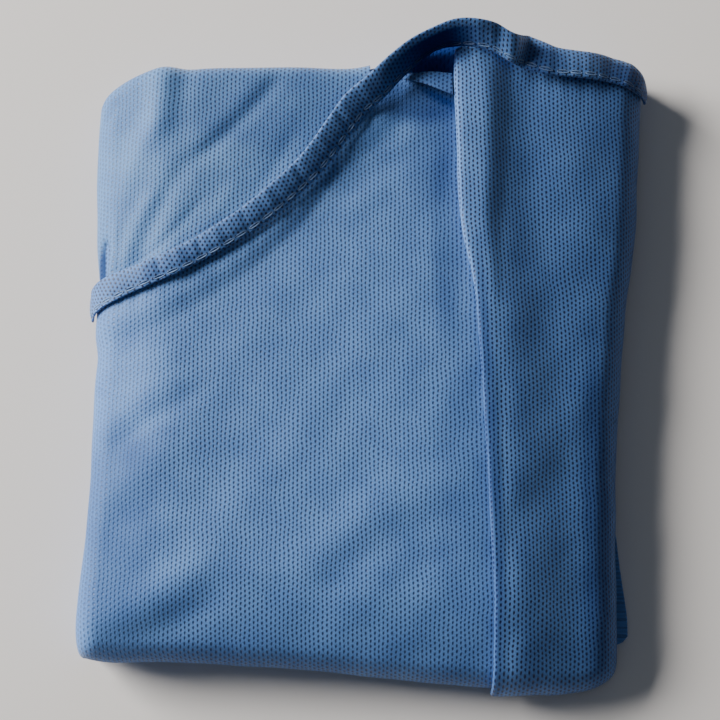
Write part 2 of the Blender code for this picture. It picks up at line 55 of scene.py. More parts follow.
Side = namedtuple("Side", "along left right")
SIDES = (
    Side(-122.0, -96.5, 88.5),
    Side(-110.0, -97.0, 89.5),
    Side(-97.0, -98.5, 90.0),
    Side(-71.0, -97.0, 90.0),
    Side(-42.0, -95.5, 91.2),
    Side(-13.0, -95.5, 93.2),
    Side(20.0, -94.0, 96.6),
    Side(50.0, -96.5, 101.0),
    Side(82.0, -97.0, 103.5),
    Side(104.0, -96.5, 105.0),
)
End = namedtuple("End", "across near far")
ENDS = (
    End(-98.0, -104.0, 100.3),
    End(-91.0, -105.0, 104.8),
    End(-77.0, -105.0, 110.0),
    End(-60.0, -105.5, 110.3),
    End(-21.0, -107.8, 110.9),
    End(0.0, -109.8, 110.8),
    End(12.0, -111.0, 114.2),
    End(24.0, -112.2, 119.2),
    End(36.0, -113.3, 122.0),
    End(48.0, -114.2, 122.0),
    End(62.0, -114.8, 120.4),
    End(70.0, -116.0, 119.2),
    End(80.0, -115.0, 118.0),
    End(92.0, -110.0, 116.2),
    End(104.0, -106.5, 113.0),
)
Crown = namedtuple("Crown", "place height")
CROWN_ACROSS = (
    Crown(-100.0, 13.6),
    Crown(-91.0, 17.0),
    Crown(-82.0, 20.4),
    Crown(-75.0, 22.7),
    Crown(-69.0, 23.8),
    Crown(-62.0, 24.2),
    Crown(-48.0, 24.3),
    Crown(0.0, 24.4),
    Crown(28.0, 24.4),
    Crown(40.0, 24.1),
    Crown(46.0, 23.6),
    Crown(52.0, 22.8),
    Crown(60.0, 21.6),
    Crown(72.0, 19.4),
    Crown(82.0, 17.1),
    Crown(90.0, 14.8),
    Crown(100.0, 11.4),
)
CROWN_ALONG = (
    Crown(-125.0, -14.0),
    Crown(-115.0, -10.6),
    Crown(-106.0, -7.2),
    Crown(-98.0, -4.2),
    Crown(-92.0, -2.2),
    Crown(-86.0, -0.8),
    Crown(-78.0, -0.1),
    Crown(-60.0, 0.0),
    Crown(60.0, 0.0),
    Crown(95.0, -0.6),
    Crown(110.0, -2.0),
    Crown(125.0, -4.0),
)

# The stack's greatest height, and how much of the crown's fall to the left edge each part of the
# length has: the stack is fuller at its near left corner
CROWN_TOP = 24.4
Fall = namedtuple("Fall", "along share")
LEFT_FALL = (
    Fall(-120.0, 0.35),
    Fall(-85.0, 0.42),
    Fall(-50.0, 0.7),
    Fall(-10.0, 0.95),
    Fall(20.0, 1.0),
    Fall(120.0, 1.0),
)

# The crown's right shoulder follows the right edge: it is drawn for an edge at this place
CROWN_RIGHT = 93.0
SHOULDER_FROM = 40.0
SHOULDER_OVER = 45.0

ROLL_LEFT = 7.0
ROLL_RIGHT = 8.0
ROLL_NEAR = 6.0
ROLL_FAR = 5.0
ROLL_TURN = math.radians(78.0)
ROLL_STEPS = 12

# Rounds that a grid takes until its places across and its places along agree
GRID_ROUNDS = 6


def column(table, name):
    """One named column of a table, as an array."""
    return np.array([getattr(row, name) for row in table])


def follow(table, key, value, at):
    """Smooth curve through a table's rows: a cubic between two rows, held level past the ends."""
    knots = column(table, key)
    heights = column(table, value)
    slopes = np.gradient(heights, knots)
    at = np.clip(at, knots[0], knots[-1])
    low = np.clip(np.searchsorted(knots, at) - 1, 0, len(knots) - 2)
    span = knots[low + 1] - knots[low]
    t = (at - knots[low]) / span
    rise = t * t * (3 - 2 * t)
    return (
        heights[low] * (1 - rise)
        + heights[low + 1] * rise
        + slopes[low] * span * t * (1 - t) ** 2
        - slopes[low + 1] * span * t * t * (1 - t)
    )


def ease(t):
    """Smooth step from 0 to 1: three t squared less two t cubed."""
    t = np.clip(t, 0.0, 1.0)
    return t * t * (3 - 2 * t)


def roll(past, radius):
    """Run and drop of cloth this far past where its edge starts to roll: an arc, then straight."""
    bent = np.clip(past, 0.0, radius * ROLL_TURN)
    straight = np.maximum(past - radius * ROLL_TURN, 0.0)
    run = radius * np.sin(bent / radius) + straight * math.cos(ROLL_TURN)
    drop = radius * (1 - np.cos(bent / radius)) + straight * math.sin(ROLL_TURN)
    return run, drop


def roll_starts(across, along):
    """Where the four edges start to roll: left, right, near and far."""
    reach = math.sin(ROLL_TURN)
    left = follow(SIDES, "along", "left", along) + ROLL_LEFT * reach
    right = follow(SIDES, "along", "right", along) - ROLL_RIGHT * reach
    near = follow(ENDS, "across", "near", across) + ROLL_NEAR * reach
    far = follow(ENDS, "across", "far", across) - ROLL_FAR * reach
    return left, right, near, far


def form(across, along):
    """The stack's rounded form: two crowns added, less the drops of the four rolled edges."""
    left, right, near, far = roll_starts(across, along)
    left_run, left_drop = roll(left - across, ROLL_LEFT)
    right_run, right_drop = roll(across - right, ROLL_RIGHT)
    near_run, near_drop = roll(near - along, ROLL_NEAR)
    far_run, far_drop = roll(along - far, ROLL_FAR)
    x = np.clip(across, left, right) - left_run + right_run
    y = np.clip(along, near, far) - near_run + far_run
    shoulder = ease((x - SHOULDER_FROM) / SHOULDER_OVER)
    moved = x - shoulder * (follow(SIDES, "along", "right", y) - CROWN_RIGHT)
    fall = CROWN_TOP - follow(CROWN_ACROSS, "place", "height", moved)
    fall = fall * np.where(x < 0, follow(LEFT_FALL, "along", "share", y), 1.0)
    crown = CROWN_TOP - np.hypot(fall, follow(CROWN_ALONG, "place", "height", y))
    z = crown - np.hypot(left_drop + right_drop, near_drop + far_drop)
    return np.stack([x, y, z], axis=-1)


def stations(*stretches):
    """Values along stretches of (start, stop, steps), joined end to end."""
    values = [np.linspace(start, stop, steps, endpoint=False) for start, stop, steps in stretches]
    return np.concatenate(values + [[stretches[-1][1]]])


def rolled(radius, hang=0.0):
    """Distances past the start of a rolled edge: up to its end, and on to a panel's hem."""
    turned = radius * ROLL_TURN * np.arange(1, ROLL_STEPS + 1) / ROLL_STEPS
    hanging = np.arange(1, 3) / 2 * hang if hang else np.zeros(0)
    return np.concatenate([turned, turned[-1] + hanging])


def spacing(before, share, after):
    """Steps of a grid, in order: past its start, shares of the way to its end, past its end."""
    level = np.zeros(len(share))
    return (
        np.concatenate([before[::-1], level, np.zeros(len(after))]),
        np.concatenate([np.zeros(len(before)), share, np.ones(len(after))]),
        np.concatenate([np.zeros(len(before)), level, after]),
    )


def between(ends, steps):
    """Places at a spacing's steps between two ends."""
    start, stop = ends
    before, share, after = steps
    return start - before + (stop - start) * share + after


def lay_grid(columns, rows, across_ends, along_ends):
    """Places of a grid whose ends across depend on along, and the other way round."""
    row_steps = [step[:, None] for step in rows]
    across = np.zeros((len(rows[0]), len(columns[0])))
    for _ in range(GRID_ROUNDS):
        along = between(along_ends(across), row_steps)
        across = between(across_ends(along), columns)
    return across, along


def quads(rows, columns, offset=0):
    """Faces of a grid of points, numbered from an offset, that face up where it runs +X and +Y."""
    index = np.arange(rows * columns).reshape(rows, columns) + offset
    corners = [index[:-1, :-1], index[:-1, 1:], index[1:, 1:], index[1:, :-1]]
    return np.stack(corners, axis=-1).reshape(-1, 4)


def border_of(rows, columns):
    """Numbers of a grid's border points, in order round it."""
    index = np.arange(rows * columns).reshape(rows, columns)
    return np.concatenate([index[0, :-1], index[:-1, -1], index[-1, :0:-1], index[:0:-1, 0]])


# Painted shade in the hollow under the lifted neckline, where little light comes in: its middle, its
# reach, and the shares of that reach where the painted shade starts to lift and over which it is gone
HOLLOW = (31.0, 115.0, 16.0)
HOLLOW_REACH = (17.0, 10.0, 15.0)
HOLLOW_SHADE = 0.93
HOLLOW_FROM = 0.75
HOLLOW_OVER = 0.35


def open_to_light(points):
    """Share of light painted on each point's colour: 1 in the open, and least deep in the hollow."""
    away = np.linalg.norm((points - np.array(HOLLOW)) / np.array(HOLLOW_REACH), axis=-1)
    return 1 - HOLLOW_SHADE * (1 - ease((away - HOLLOW_FROM) / HOLLOW_OVER))


def add_piece(name, points, faces, places, material, tone_and_painted_shade=1.0, bonds=1.0):
    """One finished piece: points on the plan, faces, and each corner's place on the cloth, in mm.

    Its darkening share pulls the cloth toward the shade colour, point by point: painted shade where
    less light comes in, on a slight even darkening, and bonds says how strongly the bonds show.
    """
    mesh = bpy.data.meshes.new(name)
    in_row = (points - np.array([*MIDDLE, 0.0])) * MILLIMETRE
    mesh.from_pydata(in_row.tolist(), [], faces.tolist())
    # The hollow's painted shade is multiplied into each piece's own darkening share
    for key, shares in (("tone_and_painted_shade", open_to_light(points) * tone_and_painted_shade), ("bonds", bonds)):
        shares = np.broadcast_to(shares, len(points)).astype(np.float32)
        mesh.attributes.new(key, "FLOAT", "POINT").data.foreach_set("value", shares)
    layer = mesh.uv_layers.new(name="cloth")
    layer.data.foreach_set("uv", places.astype(np.float32).ravel())
    mesh.materials.append(material)
    mesh.shade_smooth()
    mesh.set_sharp_from_angle(angle=math.radians(50.0))
    made = bpy.data.objects.new(name, mesh)
    bpy.context.scene.collection.objects.link(made)
    return made


def linear(code):
    """Linear red, green, blue and alpha of an sRGB hex colour."""
    shares = [int(code[place : place + 2], 16) / 255 for place in (1, 3, 5)]
    return [s / 12.92 if s <= 0.04045 else ((s + 0.055) / 1.055) ** 2.4 for s in shares] + [1.0]


def node(material, kind, settings=None, **inputs):
    """Adds one shader node: its settings, and its inputs as values or as sockets to link from."""
    tree = material.node_tree
    made = tree.nodes.new("ShaderNode" + kind)
    for name, value in (settings or {}).items():
        setattr(made, name, value)
    for name, value in inputs.items():
        key = int(name[1:]) if name[0] == "i" and name[1:].isdigit() else name.replace("_", " ")
        if isinstance(value, bpy.types.NodeSocket):
            tree.links.new(value, made.inputs[key])
        else:
            made.inputs[key].default_value = value
    return made


# Point bonds of the cloth: staggered oval dots, in columns 1.5 mm and rows 1.75 mm apart
BOND_COLUMN = 1.5
BOND_ROW = 1.75
BOND_HALF = (0.33, 0.46)

# How far the pull on the cloth draws the rows of bonds out of line and how deep a bond is, in mm,
# the fibre's loft as a share of that depth, and the sheen and shine of cloth where no shade is painted
BOND_WANDER = 1.5
BOND_DEPTH = 0.16
FIBRE_LOFT = 0.3
SHEEN = 0.25
SHINE = 0.5

# Colour of painted shade: the cloth is mixed toward it where hardly any light reaches it
SHADE_COLOUR = "#0A2160"


def bond_distance(material, place, shift):
    """Distance to the nearest bond of one half of the lattice, where 1 is the bond's own edge."""
    pitch = (2 * BOND_COLUMN, BOND_ROW, 1.0)
    cell = node(material, "VectorMath", {"operation": "DIVIDE"}, i0=place, i1=pitch)
    moved = node(material, "VectorMath", {"operation": "ADD"}, i0=cell.outputs[0],
                 i1=(shift, shift, 0.0))
    part = node(material, "VectorMath", {"operation": "FRACTION"}, i0=moved.outputs[0])
    middle = node(material, "VectorMath", {"operation": "SUBTRACT"}, i0=part.outputs[0],
                  i1=(0.5, 0.5, 0.0))
    scaled = node(material, "VectorMath", {"operation": "MULTIPLY"}, i0=middle.outputs[0],
                  i1=(pitch[0] / BOND_HALF[0], pitch[1] / BOND_HALF[1], 0.0))
    return node(material, "VectorMath", {"operation": "LENGTH"}, i0=scaled.outputs[0])


def nonwoven(name, fibre, cloudy, bond):
    """SMS polypropylene: matt pale fibre laid in clouds, pressed into dark film at each bond."""
    material = bpy.data.materials.new(name)
    material.use_nodes = True
    shader = material.node_tree.nodes["Principled BSDF"]
    place = node(material, "UVMap", {"uv_map": "cloth"}).outputs[0]
    drift = node(material, "TexNoise", Vector=place, Scale=0.11, Detail=2.0)
    off = node(material, "VectorMath", {"operation": "MULTIPLY_ADD"},
               i0=drift.outputs["Color"], i1=(BOND_WANDER, BOND_WANDER, 0.0), i2=place)
    first = bond_distance(material, off.outputs[0], 0.0)
    second = bond_distance(material, off.outputs[0], 0.5)
    nearest = node(material, "Math", {"operation": "MINIMUM"},
                   i0=first.outputs["Value"], i1=second.outputs["Value"])
    pressed = node(material, "MapRange", {"interpolation_type": "SMOOTHSTEP"},
                   Value=nearest.outputs[0], From_Min=0.45, From_Max=1.5, To_Min=1.0, To_Max=0.0)
    fibres = node(material, "TexNoise", Vector=place, Scale=1.9, Detail=3.0,
                  Roughness=0.7, Distortion=0.6)
    clouds = node(material, "TexNoise", Vector=place, Scale=0.075, Detail=3.0)
    cloud = node(material, "MapRange", Value=clouds.outputs["Fac"], From_Min=0.35,
                 From_Max=0.65)
    ground = node(material, "Mix", {"data_type": "RGBA"}, i0=cloud.outputs[0],
                  i6=linear(fibre), i7=linear(cloudy))
    strand = node(material, "MapRange", Value=fibres.outputs["Fac"], From_Min=0.3,
                  From_Max=0.7, To_Min=0.72, To_Max=1.22)
    net = node(material, "MapRange", {"interpolation_type": "SMOOTHSTEP"},
               Value=nearest.outputs[0], From_Min=1.1, From_Max=2.2, To_Min=0.84, To_Max=1.16)
    thick = node(material, "Math", {"operation": "MULTIPLY"}, i0=strand.outputs[0],
                 i1=net.outputs[0])
    streaked = node(material, "Mix", {"data_type": "RGBA", "blend_type": "MULTIPLY"},
                    i0=1.0, i6=ground.outputs[2], i7=thick.outputs[0])
    amount = node(material, "MapRange", Value=fibres.outputs["Fac"], From_Min=0.25,
                  From_Max=0.6, To_Min=0.45, To_Max=0.95)
    strong = node(material, "Attribute", {"attribute_name": "bonds"})
    drawn = node(material, "Math", {"operation": "MULTIPLY"}, i0=amount.outputs[0],
                 i1=strong.outputs["Fac"])
    film = node(material, "Math", {"operation": "MULTIPLY"}, i0=pressed.outputs[0],
                i1=drawn.outputs[0])
    dotted = node(material, "Mix", {"data_type": "RGBA"}, i0=film.outputs[0],
                  i6=streaked.outputs[2], i7=linear(bond))
    # Painted shade: the cloth's colour is mixed toward the shade colour by the darkening share
    tone_and_painted_shade = node(material, "Attribute", {"attribute_name": "tone_and_painted_shade"})
    colour = node(material, "Mix", {"data_type": "RGBA"}, i0=tone_and_painted_shade.outputs["Fac"],
                  i6=linear(SHADE_COLOUR), i7=dotted.outputs[2])
    gloss = node(material, "MapRange", Value=pressed.outputs[0], To_Min=0.72, To_Max=0.42)
    loft = node(material, "Math", {"operation": "MULTIPLY"},
                i0=fibres.outputs["Fac"], i1=FIBRE_LOFT)
    height = node(material, "Math", {"operation": "SUBTRACT"}, i0=loft.outputs[0],
                  i1=pressed.outputs[0])
    bump = node(material, "Bump", Strength=0.9, Distance=BOND_DEPTH * MILLIMETRE,
                Height=height.outputs[0])
    links = material.node_tree.links
    links.new(colour.outputs[2], shader.inputs["Base Color"])
    links.new(gloss.outputs[0], shader.inputs["Roughness"])
    links.new(bump.outputs[0], shader.inputs["Normal"])
    # Sheen and shine are cut back by the same share, where shade is painted
    for socket, share in (("Sheen Weight", SHEEN), ("Specular IOR Level", SHINE)):
        left = node(material, "Math", {"operation": "MULTIPLY"},
                    i0=tone_and_painted_shade.outputs["Fac"], i1=share)
        links.new(left.outputs[0], shader.inputs[socket])
    shader.inputs["IOR"].default_value = 1.49
    shader.inputs["Sheen Roughness"].default_value = 0.5
    return material


outside = nonwoven("SMS polypropylene nonwoven, outside", "#5A8DD2", "#4E80C6", "#041646")

# Lips of the layers: the share of the sides' height where each ends, how far it stands in, and
# how its inset and its lower edge wander round the bundle
Lip = namedtuple("Lip", "ends inset wander turns shift")
LIPS = (
    Lip(0.12, 1.0, 0.3, 3, 0.4),
    Lip(0.25, 0.6, 0.5, 5, 1.9),
    Lip(0.35, 1.5, 0.8, 4, 3.1),
    Lip(0.50, 0.4, 0.3, 7, 4.4),
    Lip(0.60, 1.3, 0.7, 3, 5.2),
    Lip(0.70, 0.5, 0.4, 6, 0.9),
    Lip(0.84, 1.1, 0.6, 5, 2.6),
    Lip(1.00, 0.7, 0.4, 4, 3.8),
)
LIP_STEPS = 7
LIP_GROOVE = 1.1
LIP_WANDER = 0.022
LIP_STEP = 0.35
FOOT_INSET = 3.0
BODY_HALF = (105.0, 120.0)

# Corner of a low layer that shows past the right edge: how far it stands out by distance along
Corner = namedtuple("Corner", "along reach")
CORNER = (
    Corner(-100.5, 0.0),
    Corner(-99.0, 6.0),
    Corner(-90.0, 5.8),
    Corner(-76.0, 4.2),
    Corner(-62.0, 2.6),
    Corner(-50.0, 0.0),
)
CORNER_LIPS = 3

# The bonds hardly show on that corner, and the hidden layers, seen at their sides, are darkened with
# painted shade
CORNER_SMOOTH = 0.9
SIDES_PAINTED_SHADE = 0.85

# Hollow in the stack under the lifted neckline, and how much shallower it is past its middle
POCKET_ACROSS = 31.0
POCKET_ALONG = 112.0
POCKET_HALF_WIDTH = 12.0
POCKET_HALF_LENGTH = 6.0
POCKET_DEPTH = 12.5
POCKET_RIM = 0.6

body_columns = stations((0.0, 0.55, 50), (0.55, 0.75, 26), (0.75, 1.0, 24))
body_rows = stations((0.0, 0.85, 84), (0.85, 1.0, 24))
across, along = lay_grid(
    spacing(rolled(ROLL_LEFT), body_columns, rolled(ROLL_RIGHT)),
    spacing(rolled(ROLL_NEAR), body_rows, rolled(ROLL_FAR)),
    lambda along: roll_starts(0.0 * along, along)[:2],
    lambda across: roll_starts(across, 0.0 * across)[2:],
)
top = form(across, along)
bell = ((top[..., 0] - POCKET_ACROSS) / POCKET_HALF_WIDTH) ** 2
bell = bell + ((top[..., 1] - POCKET_ALONG) / POCKET_HALF_LENGTH) ** 2
rim = 1 - POCKET_RIM * ease((top[..., 1] - POCKET_ALONG) / POCKET_HALF_LENGTH)
top[..., 2] -= POCKET_DEPTH * rim * np.exp(-bell)
under = top * np.array([1 - FOOT_INSET / BODY_HALF[0], 1 - FOOT_INSET / BODY_HALF[1], 0.0])
round_it = border_of(*top.shape[:2])
border = top.reshape(-1, 3)[round_it]
ahead = np.roll(border, -1, axis=0) - np.roll(border, 1, axis=0)
outward = np.stack([ahead[:, 1], -ahead[:, 0]], axis=-1)
outward = outward / np.linalg.norm(outward, axis=-1, keepdims=True)
angle = np.arctan2(border[:, 1], border[:, 0])
corner = np.interp(border[:, 1], column(CORNER, "along"), column(CORNER, "reach"))
corner = corner * (border[:, 0] > 0)

rings = []
start = np.zeros(len(border))
for number, lip in enumerate(LIPS):
    last = number == len(LIPS) - 1
    stop = lip.ends + (0.0 if last else LIP_WANDER) * np.sin(lip.turns * angle + lip.shift)
    inset = lip.inset + lip.wander * np.sin((lip.turns + 4) * angle - 2 * lip.shift)
    if number >= len(LIPS) - CORNER_LIPS:
        inset = np.where(corner > 0, inset * (1 - ease(corner)) - corner, inset)
    for step in range(LIP_STEPS):
        share = (step + 0.5) / LIP_STEPS
        level = start + (stop - start) * share
        bulge = math.sqrt(1 - (2 * share - 1) ** 2)
        ring = border.copy()
        ring[:, 2] *= 1 - level
        ring[:, :2] -= outward * (inset + LIP_GROOVE * (1 - bulge))[:, None]
        rings.append(ring)
    start = stop

rows, columns = top.shape[:2]
count = rows * columns
body_points = np.concatenate([top.reshape(-1, 3), under.reshape(-1, 3)] + rings)
place = np.stack([across, along], axis=-1).reshape(-1, 2)
ring_count = len(border)
ring_steps = np.linalg.norm(np.roll(border, -1, axis=0) - border, axis=1)
ring_length = np.concatenate([[0.0], np.cumsum(ring_steps)])
above = round_it
side_faces = []
side_places = []
for number in range(len(rings) + 1):
    if number < len(rings):
        below = 2 * count + number * ring_count + np.arange(ring_count)
    else:
        below = round_it + count
    side_faces.append(np.stack([above, below, np.roll(below, -1), np.roll(above, -1)], axis=-1))
    down = np.array([number, number + 1, number + 1, number]) * LIP_STEP
    along_it = np.stack([ring_length[:-1], ring_length[:-1], ring_length[1:], ring_length[1:]], axis=-1)
    side_places.append(np.stack([along_it, np.broadcast_to(down, along_it.shape)], axis=-1))
    above = below
top_faces = quads(rows, columns)
under_faces = quads(rows, columns, count)[:, ::-1]
body_faces = np.concatenate([top_faces, under_faces] + side_faces)
body_places = np.concatenate([place[top_faces], place[under_faces - count]] + side_places)
on_sides = np.tile(1 - CORNER_SMOOTH * ease(corner), len(rings))
layers = add_piece("gown_hidden_layers", body_points, body_faces, body_places, outside,
                   SIDES_PAINTED_SHADE, np.concatenate([np.ones(2 * count), on_sides]))
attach(layers, "root")
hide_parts("folded_body")

# The back, inside out: the cloth's inner face shows above the neckline at the left.
# It lies on the hidden layers, rolls over the left edge and the far end, and is pulled into soft
# creases that run down to the neck seam. At the left edge a small fold gapes open, and its gap is
# darkened with painted shade.

CLOTH = 1.0
SHELL = 0.5
SEAM_GAP = 0.35
HANG = 2.0
BACK_TO = 4.0
BACK_UNDER_NECK = 11.0
NECK_STEP = 1.0
RAW_EDGE = 2.0

# The finer shape of a piece starts a little way under the piece that lies on it
DETAIL_UNDER = 2.0
BACK_DETAIL_OVER = 8.0

Neck = namedtuple("Neck", "across along width rise")
NECK_FRONT = (
    Neck(-99.5, 16.6, 10.5, 0.0),
    Neck(-95.0, 17.8, 10.5, 0.0),
    Neck(-86.0, 21.8, 10.0, 0.1),
    Neck(-75.0, 26.0, 9.2, 0.3),
    Neck(-62.0, 32.0, 8.8, 0.8),
    Neck(-50.0, 38.8, 8.8, 1.6),
    Neck(-37.4, 47.0, 9.0, 2.6),
    Neck(-24.8, 57.4, 9.2, 3.4),
    Neck(-13.8, 68.6, 9.2, 4.0),
    Neck(-4.8, 81.0, 9.4, 4.4),
    Neck(1.0, 89.4, 9.4, 4.7),
)
Edge = namedtuple("Edge", "across along")
FRONT_TOP = (
    Edge(2.0, 99.0),
    Edge(8.0, 103.0),
    Edge(14.0, 105.5),
    Edge(30.0, 106.5),
    Edge(54.0, 106.0),
)

# Broad swells of the top layers, each a long bell turned to its own angle
Swell = namedtuple("Swell", "across along turn half_length half_width height")
SWELLS = (
    Swell(-76.0, -40.0, 38.0, 24.0, 6.5, 0.44),
    Swell(-70.0, -84.0, 30.0, 30.0, 7.5, 0.5),
    Swell(5.0, -58.0, 28.0, 42.0, 9.0, 0.44),
    Swell(15.0, 15.0, 40.0, 34.0, 12.0, 0.28),
    Swell(-45.0, 82.0, 52.0, 26.0, 7.0, 0.44),
    Swell(-72.0, 84.0, 96.0, 24.0, 6.0, 0.39),
    Swell(16.0, 78.0, 30.0, 16.0, 6.0, 0.33),
)

# Creases of the back: from one end to the other, with a bow to the left of that line. A height
# above zero is a ridge, and one below zero a trough. Each eases in and out by its ends.
CREASE_END = 0.35
Crease = namedtuple("Crease", "across along to_across to_along bow width height")
BACK_CREASES = (
    Crease(-72.0, 112.0, -76.0, 82.0, 0.5, 4.5, 0.9),
    Crease(-75.0, 90.0, -90.0, 46.0, -2.0, 5.0, 0.7),
    Crease(-64.0, 112.0, -67.0, 84.0, 0.0, 4.0, -0.5),
    Crease(-30.0, 106.0, -59.0, 75.0, 1.5, 3.2, -0.8),
    Crease(-38.0, 106.0, -66.0, 76.0, 1.0, 4.5, 0.4),
    Crease(-20.0, 101.0, -50.0, 68.0, 2.0, 5.0, 0.35),
    Crease(-64.0, 72.0, -81.0, 32.0, -2.0, 3.8, -0.85),
    Crease(-74.0, 62.0, -86.0, 33.0, -1.5, 3.2, 0.6),
    Crease(-58.0, 58.0, -82.0, 33.0, 1.0, 2.0, -0.4),
    Crease(-45.0, 66.0, -60.0, 44.0, 1.0, 3.0, 0.3),
    Crease(-24.0, 84.0, -38.0, 62.0, 1.0, 3.0, -0.3),
    Crease(-92.6, 58.0, -90.0, 40.0, 0.4, 1.4, -0.5),
    Crease(-93.0, 44.5, -93.8, 25.5, 0.3, 1.5, -2.6),
    Crease(-89.5, 50.0, -91.0, 26.0, 0.3, 1.8, 0.6),
)


def normals(points):
    """Unit normals of a grid of points, from its neighbours both ways."""
    turn = np.cross(np.gradient(points, axis=1), np.gradient(points, axis=0))
    return turn / np.linalg.norm(turn, axis=-1, keepdims=True)


def cloth(across, along, lift):
    """Points at a lift off the stack's form, along its normal."""
    step = 0.05
    turn = np.cross(
        form(across + step, along) - form(across - step, along),
        form(across, along + step) - form(across, along - step),
    )
    normal = turn / np.linalg.norm(turn, axis=-1, keepdims=True)
    return form(across, along) + np.asarray(lift)[..., None] * normal


def within(bell, across, along):
    """How far along and over a turned swell or patch places lie, counted in its half sizes."""
    turn = math.radians(bell.turn)
    dx = across - bell.across
    dy = along - bell.along
    along_it = (dx * math.cos(turn) + dy * math.sin(turn)) / bell.half_length
    over_it = (dy * math.cos(turn) - dx * math.sin(turn)) / bell.half_width
    return along_it, over_it


def swells(across, along):
    """Height of the broad swells, added: each falls off as a bell along it and over it."""
    total = np.zeros(np.shape(across))
    for swell in SWELLS:
        along_it, over_it = within(swell, across, along)
        total += swell.height * np.exp(-(along_it**2) - over_it**2)
    return total


def creases(table, across, along):
    """Height of creases, added: a bell over a bowed line that eases in and out at its ends."""
    total = np.zeros(np.shape(across))
    for crease in table:
        run = crease.to_across - crease.across
        rise = crease.to_along - crease.along
        length = math.hypot(run, rise)
        dx = across - crease.across
        dy = along - crease.along
        share = (dx * run + dy * rise) / length**2
        off = (dy * run - dx * rise) / length - crease.bow * 4 * share * (1 - share)
        ends = ease(share / CREASE_END + 0.5) * ease((1 - share) / CREASE_END + 0.5)
        total += crease.height * ends * np.exp(-((off / crease.width) ** 2))
    return total


def rumple(across, along):
    """Small unevenness of the cloth: four slow waves that never line up."""
    return 0.10 * (
        np.sin(across / 7.3 + 1.4 * np.sin(along / 17.0))
        + np.sin(along / 8.9 + 1.7 * np.sin(across / 13.0) + 1.0)
        + 0.8 * np.sin((across + 1.6 * along) / 6.1 + 0.5)
        + 0.6 * np.sin((1.3 * across - along) / 4.7 + 2.0)
    )


def neck_edges(table):
    """The binding's stitched edge and outer edge on the form, as (across, along) rows."""
    knots = column(table, "across")
    across = np.linspace(knots[0], knots[-1], 1 + round((knots[-1] - knots[0]) / NECK_STEP))
    stitched = np.stack([across, follow(table, "across", "along", across)], axis=-1)
    ahead = np.gradient(stitched, axis=0)
    side = np.stack([-ahead[:, 1], ahead[:, 0]], axis=-1)
    side = side / np.linalg.norm(side, axis=-1, keepdims=True)
    return stitched, stitched + side * follow(table, "across", "width", across)[:, None]


def front_top(across):
    """How far up the front panel's cloth goes: to the binding's outer edge, less a raw edge."""
    _, outer = neck_edges(NECK_FRONT)
    past = np.stack([column(FRONT_TOP, "across"), column(FRONT_TOP, "along")], axis=-1)
    curve = np.concatenate([outer[:-1] - np.array([0.0, RAW_EDGE]), past[1:]])
    return np.interp(across, curve[:, 0], curve[:, 1])


# Soft-edged patches, full to PATCH_FROM of their half sizes and faded out over PATCH_OVER more.
# They paint shade on the cloth's colour, a share below zero paints a paler patch of light, and on
# the bonds they make the bonds fainter.
PATCH_FROM = 0.6
PATCH_OVER = 0.8
Patch = namedtuple("Patch", "across along turn half_length half_width share")
# Painted shade on the back, the first patch in the gap of the small fold at the left edge
BACK_PAINTED_SHADE = (
    Patch(-94.2, 34.5, 86.0, 9.5, 2.8, 0.72),
    Patch(-93.0, 96.0, 60.0, 6.0, 2.0, 0.16),
    Patch(-28.0, 93.0, 0.0, 38.0, 17.0, 0.3),
)


def patches(table, across, along):
    """What is left of a share under soft-edged patches, used both for painted shade and for fainter
    bonds.
    """
    left = np.ones(np.shape(across))
    for patch in table:
        away = np.hypot(*within(patch, across, along))
        left = left * (1 - patch.share * (1 - ease((away - PATCH_FROM) / PATCH_OVER)))
    return left


# The bonds show faintly by the left edge, as a painted highlight where the light falls strongest,
# and in full this far in from it
BONDS_LEFT = 0.3
BONDS_FAINT = -92.0
BONDS_OVER = 34.0


def bonds_faded_by_painted_light(across):
    """How strongly the bonds show: less at the left, as a painted highlight where the light is
    strongest.
    """
    return BONDS_LEFT + (1 - BONDS_LEFT) * ease((across - BONDS_FAINT) / BONDS_OVER)


def add_shell(name, outer, places, material, tone_and_painted_shade=1.0, bonds=1.0):
    """Cloth as a closed shell: a grid of outer points, the same grid moved in, and a rim."""
    rows, columns = outer.shape[:2]
    inner = outer - SHELL * normals(outer)
    points = np.concatenate([outer.reshape(-1, 3), inner.reshape(-1, 3)])
    count = rows * columns
    border = border_of(rows, columns)
    after = np.roll(border, -1)
    rim = np.stack([border, border + count, after + count, after], axis=-1)
    faces = np.concatenate([quads(rows, columns), quads(rows, columns, count)[:, ::-1], rim])
    both = [np.tile(np.broadcast_to(share, (rows, columns)).ravel(), 2) for share in (tone_and_painted_shade, bonds)]
    return add_piece(name, points, faces, places.reshape(-1, 2)[faces % count], material, *both)


inside = nonwoven("SMS polypropylene nonwoven, inside", "#5487C4", "#4779B8", "#061A4A")

across, along = lay_grid(
    spacing(rolled(ROLL_LEFT, HANG), stations((0.0, 1.0, 80)), np.zeros(0)),
    spacing(np.zeros(0), stations((0.0, 1.0, 76)), rolled(ROLL_FAR, HANG)),
    lambda along: (roll_starts(0.0 * along, along)[0], BACK_TO),
    lambda across: (front_top(across) - BACK_UNDER_NECK, roll_starts(across, 0.0 * across)[3]),
)
shown = ease((along - front_top(across) + DETAIL_UNDER) / BACK_DETAIL_OVER)
details = creases(BACK_CREASES, across, along) + rumple(across, along)
lift = SEAM_GAP + CLOTH + swells(across, along) + details * shown
back = add_shell("gown_back_inside", cloth(across, along, lift),
                 np.stack([across, along], axis=-1), inside,
                 patches(BACK_PAINTED_SHADE, across, along), bonds_faded_by_painted_light(across))
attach(back, "root")
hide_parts("back_panel")

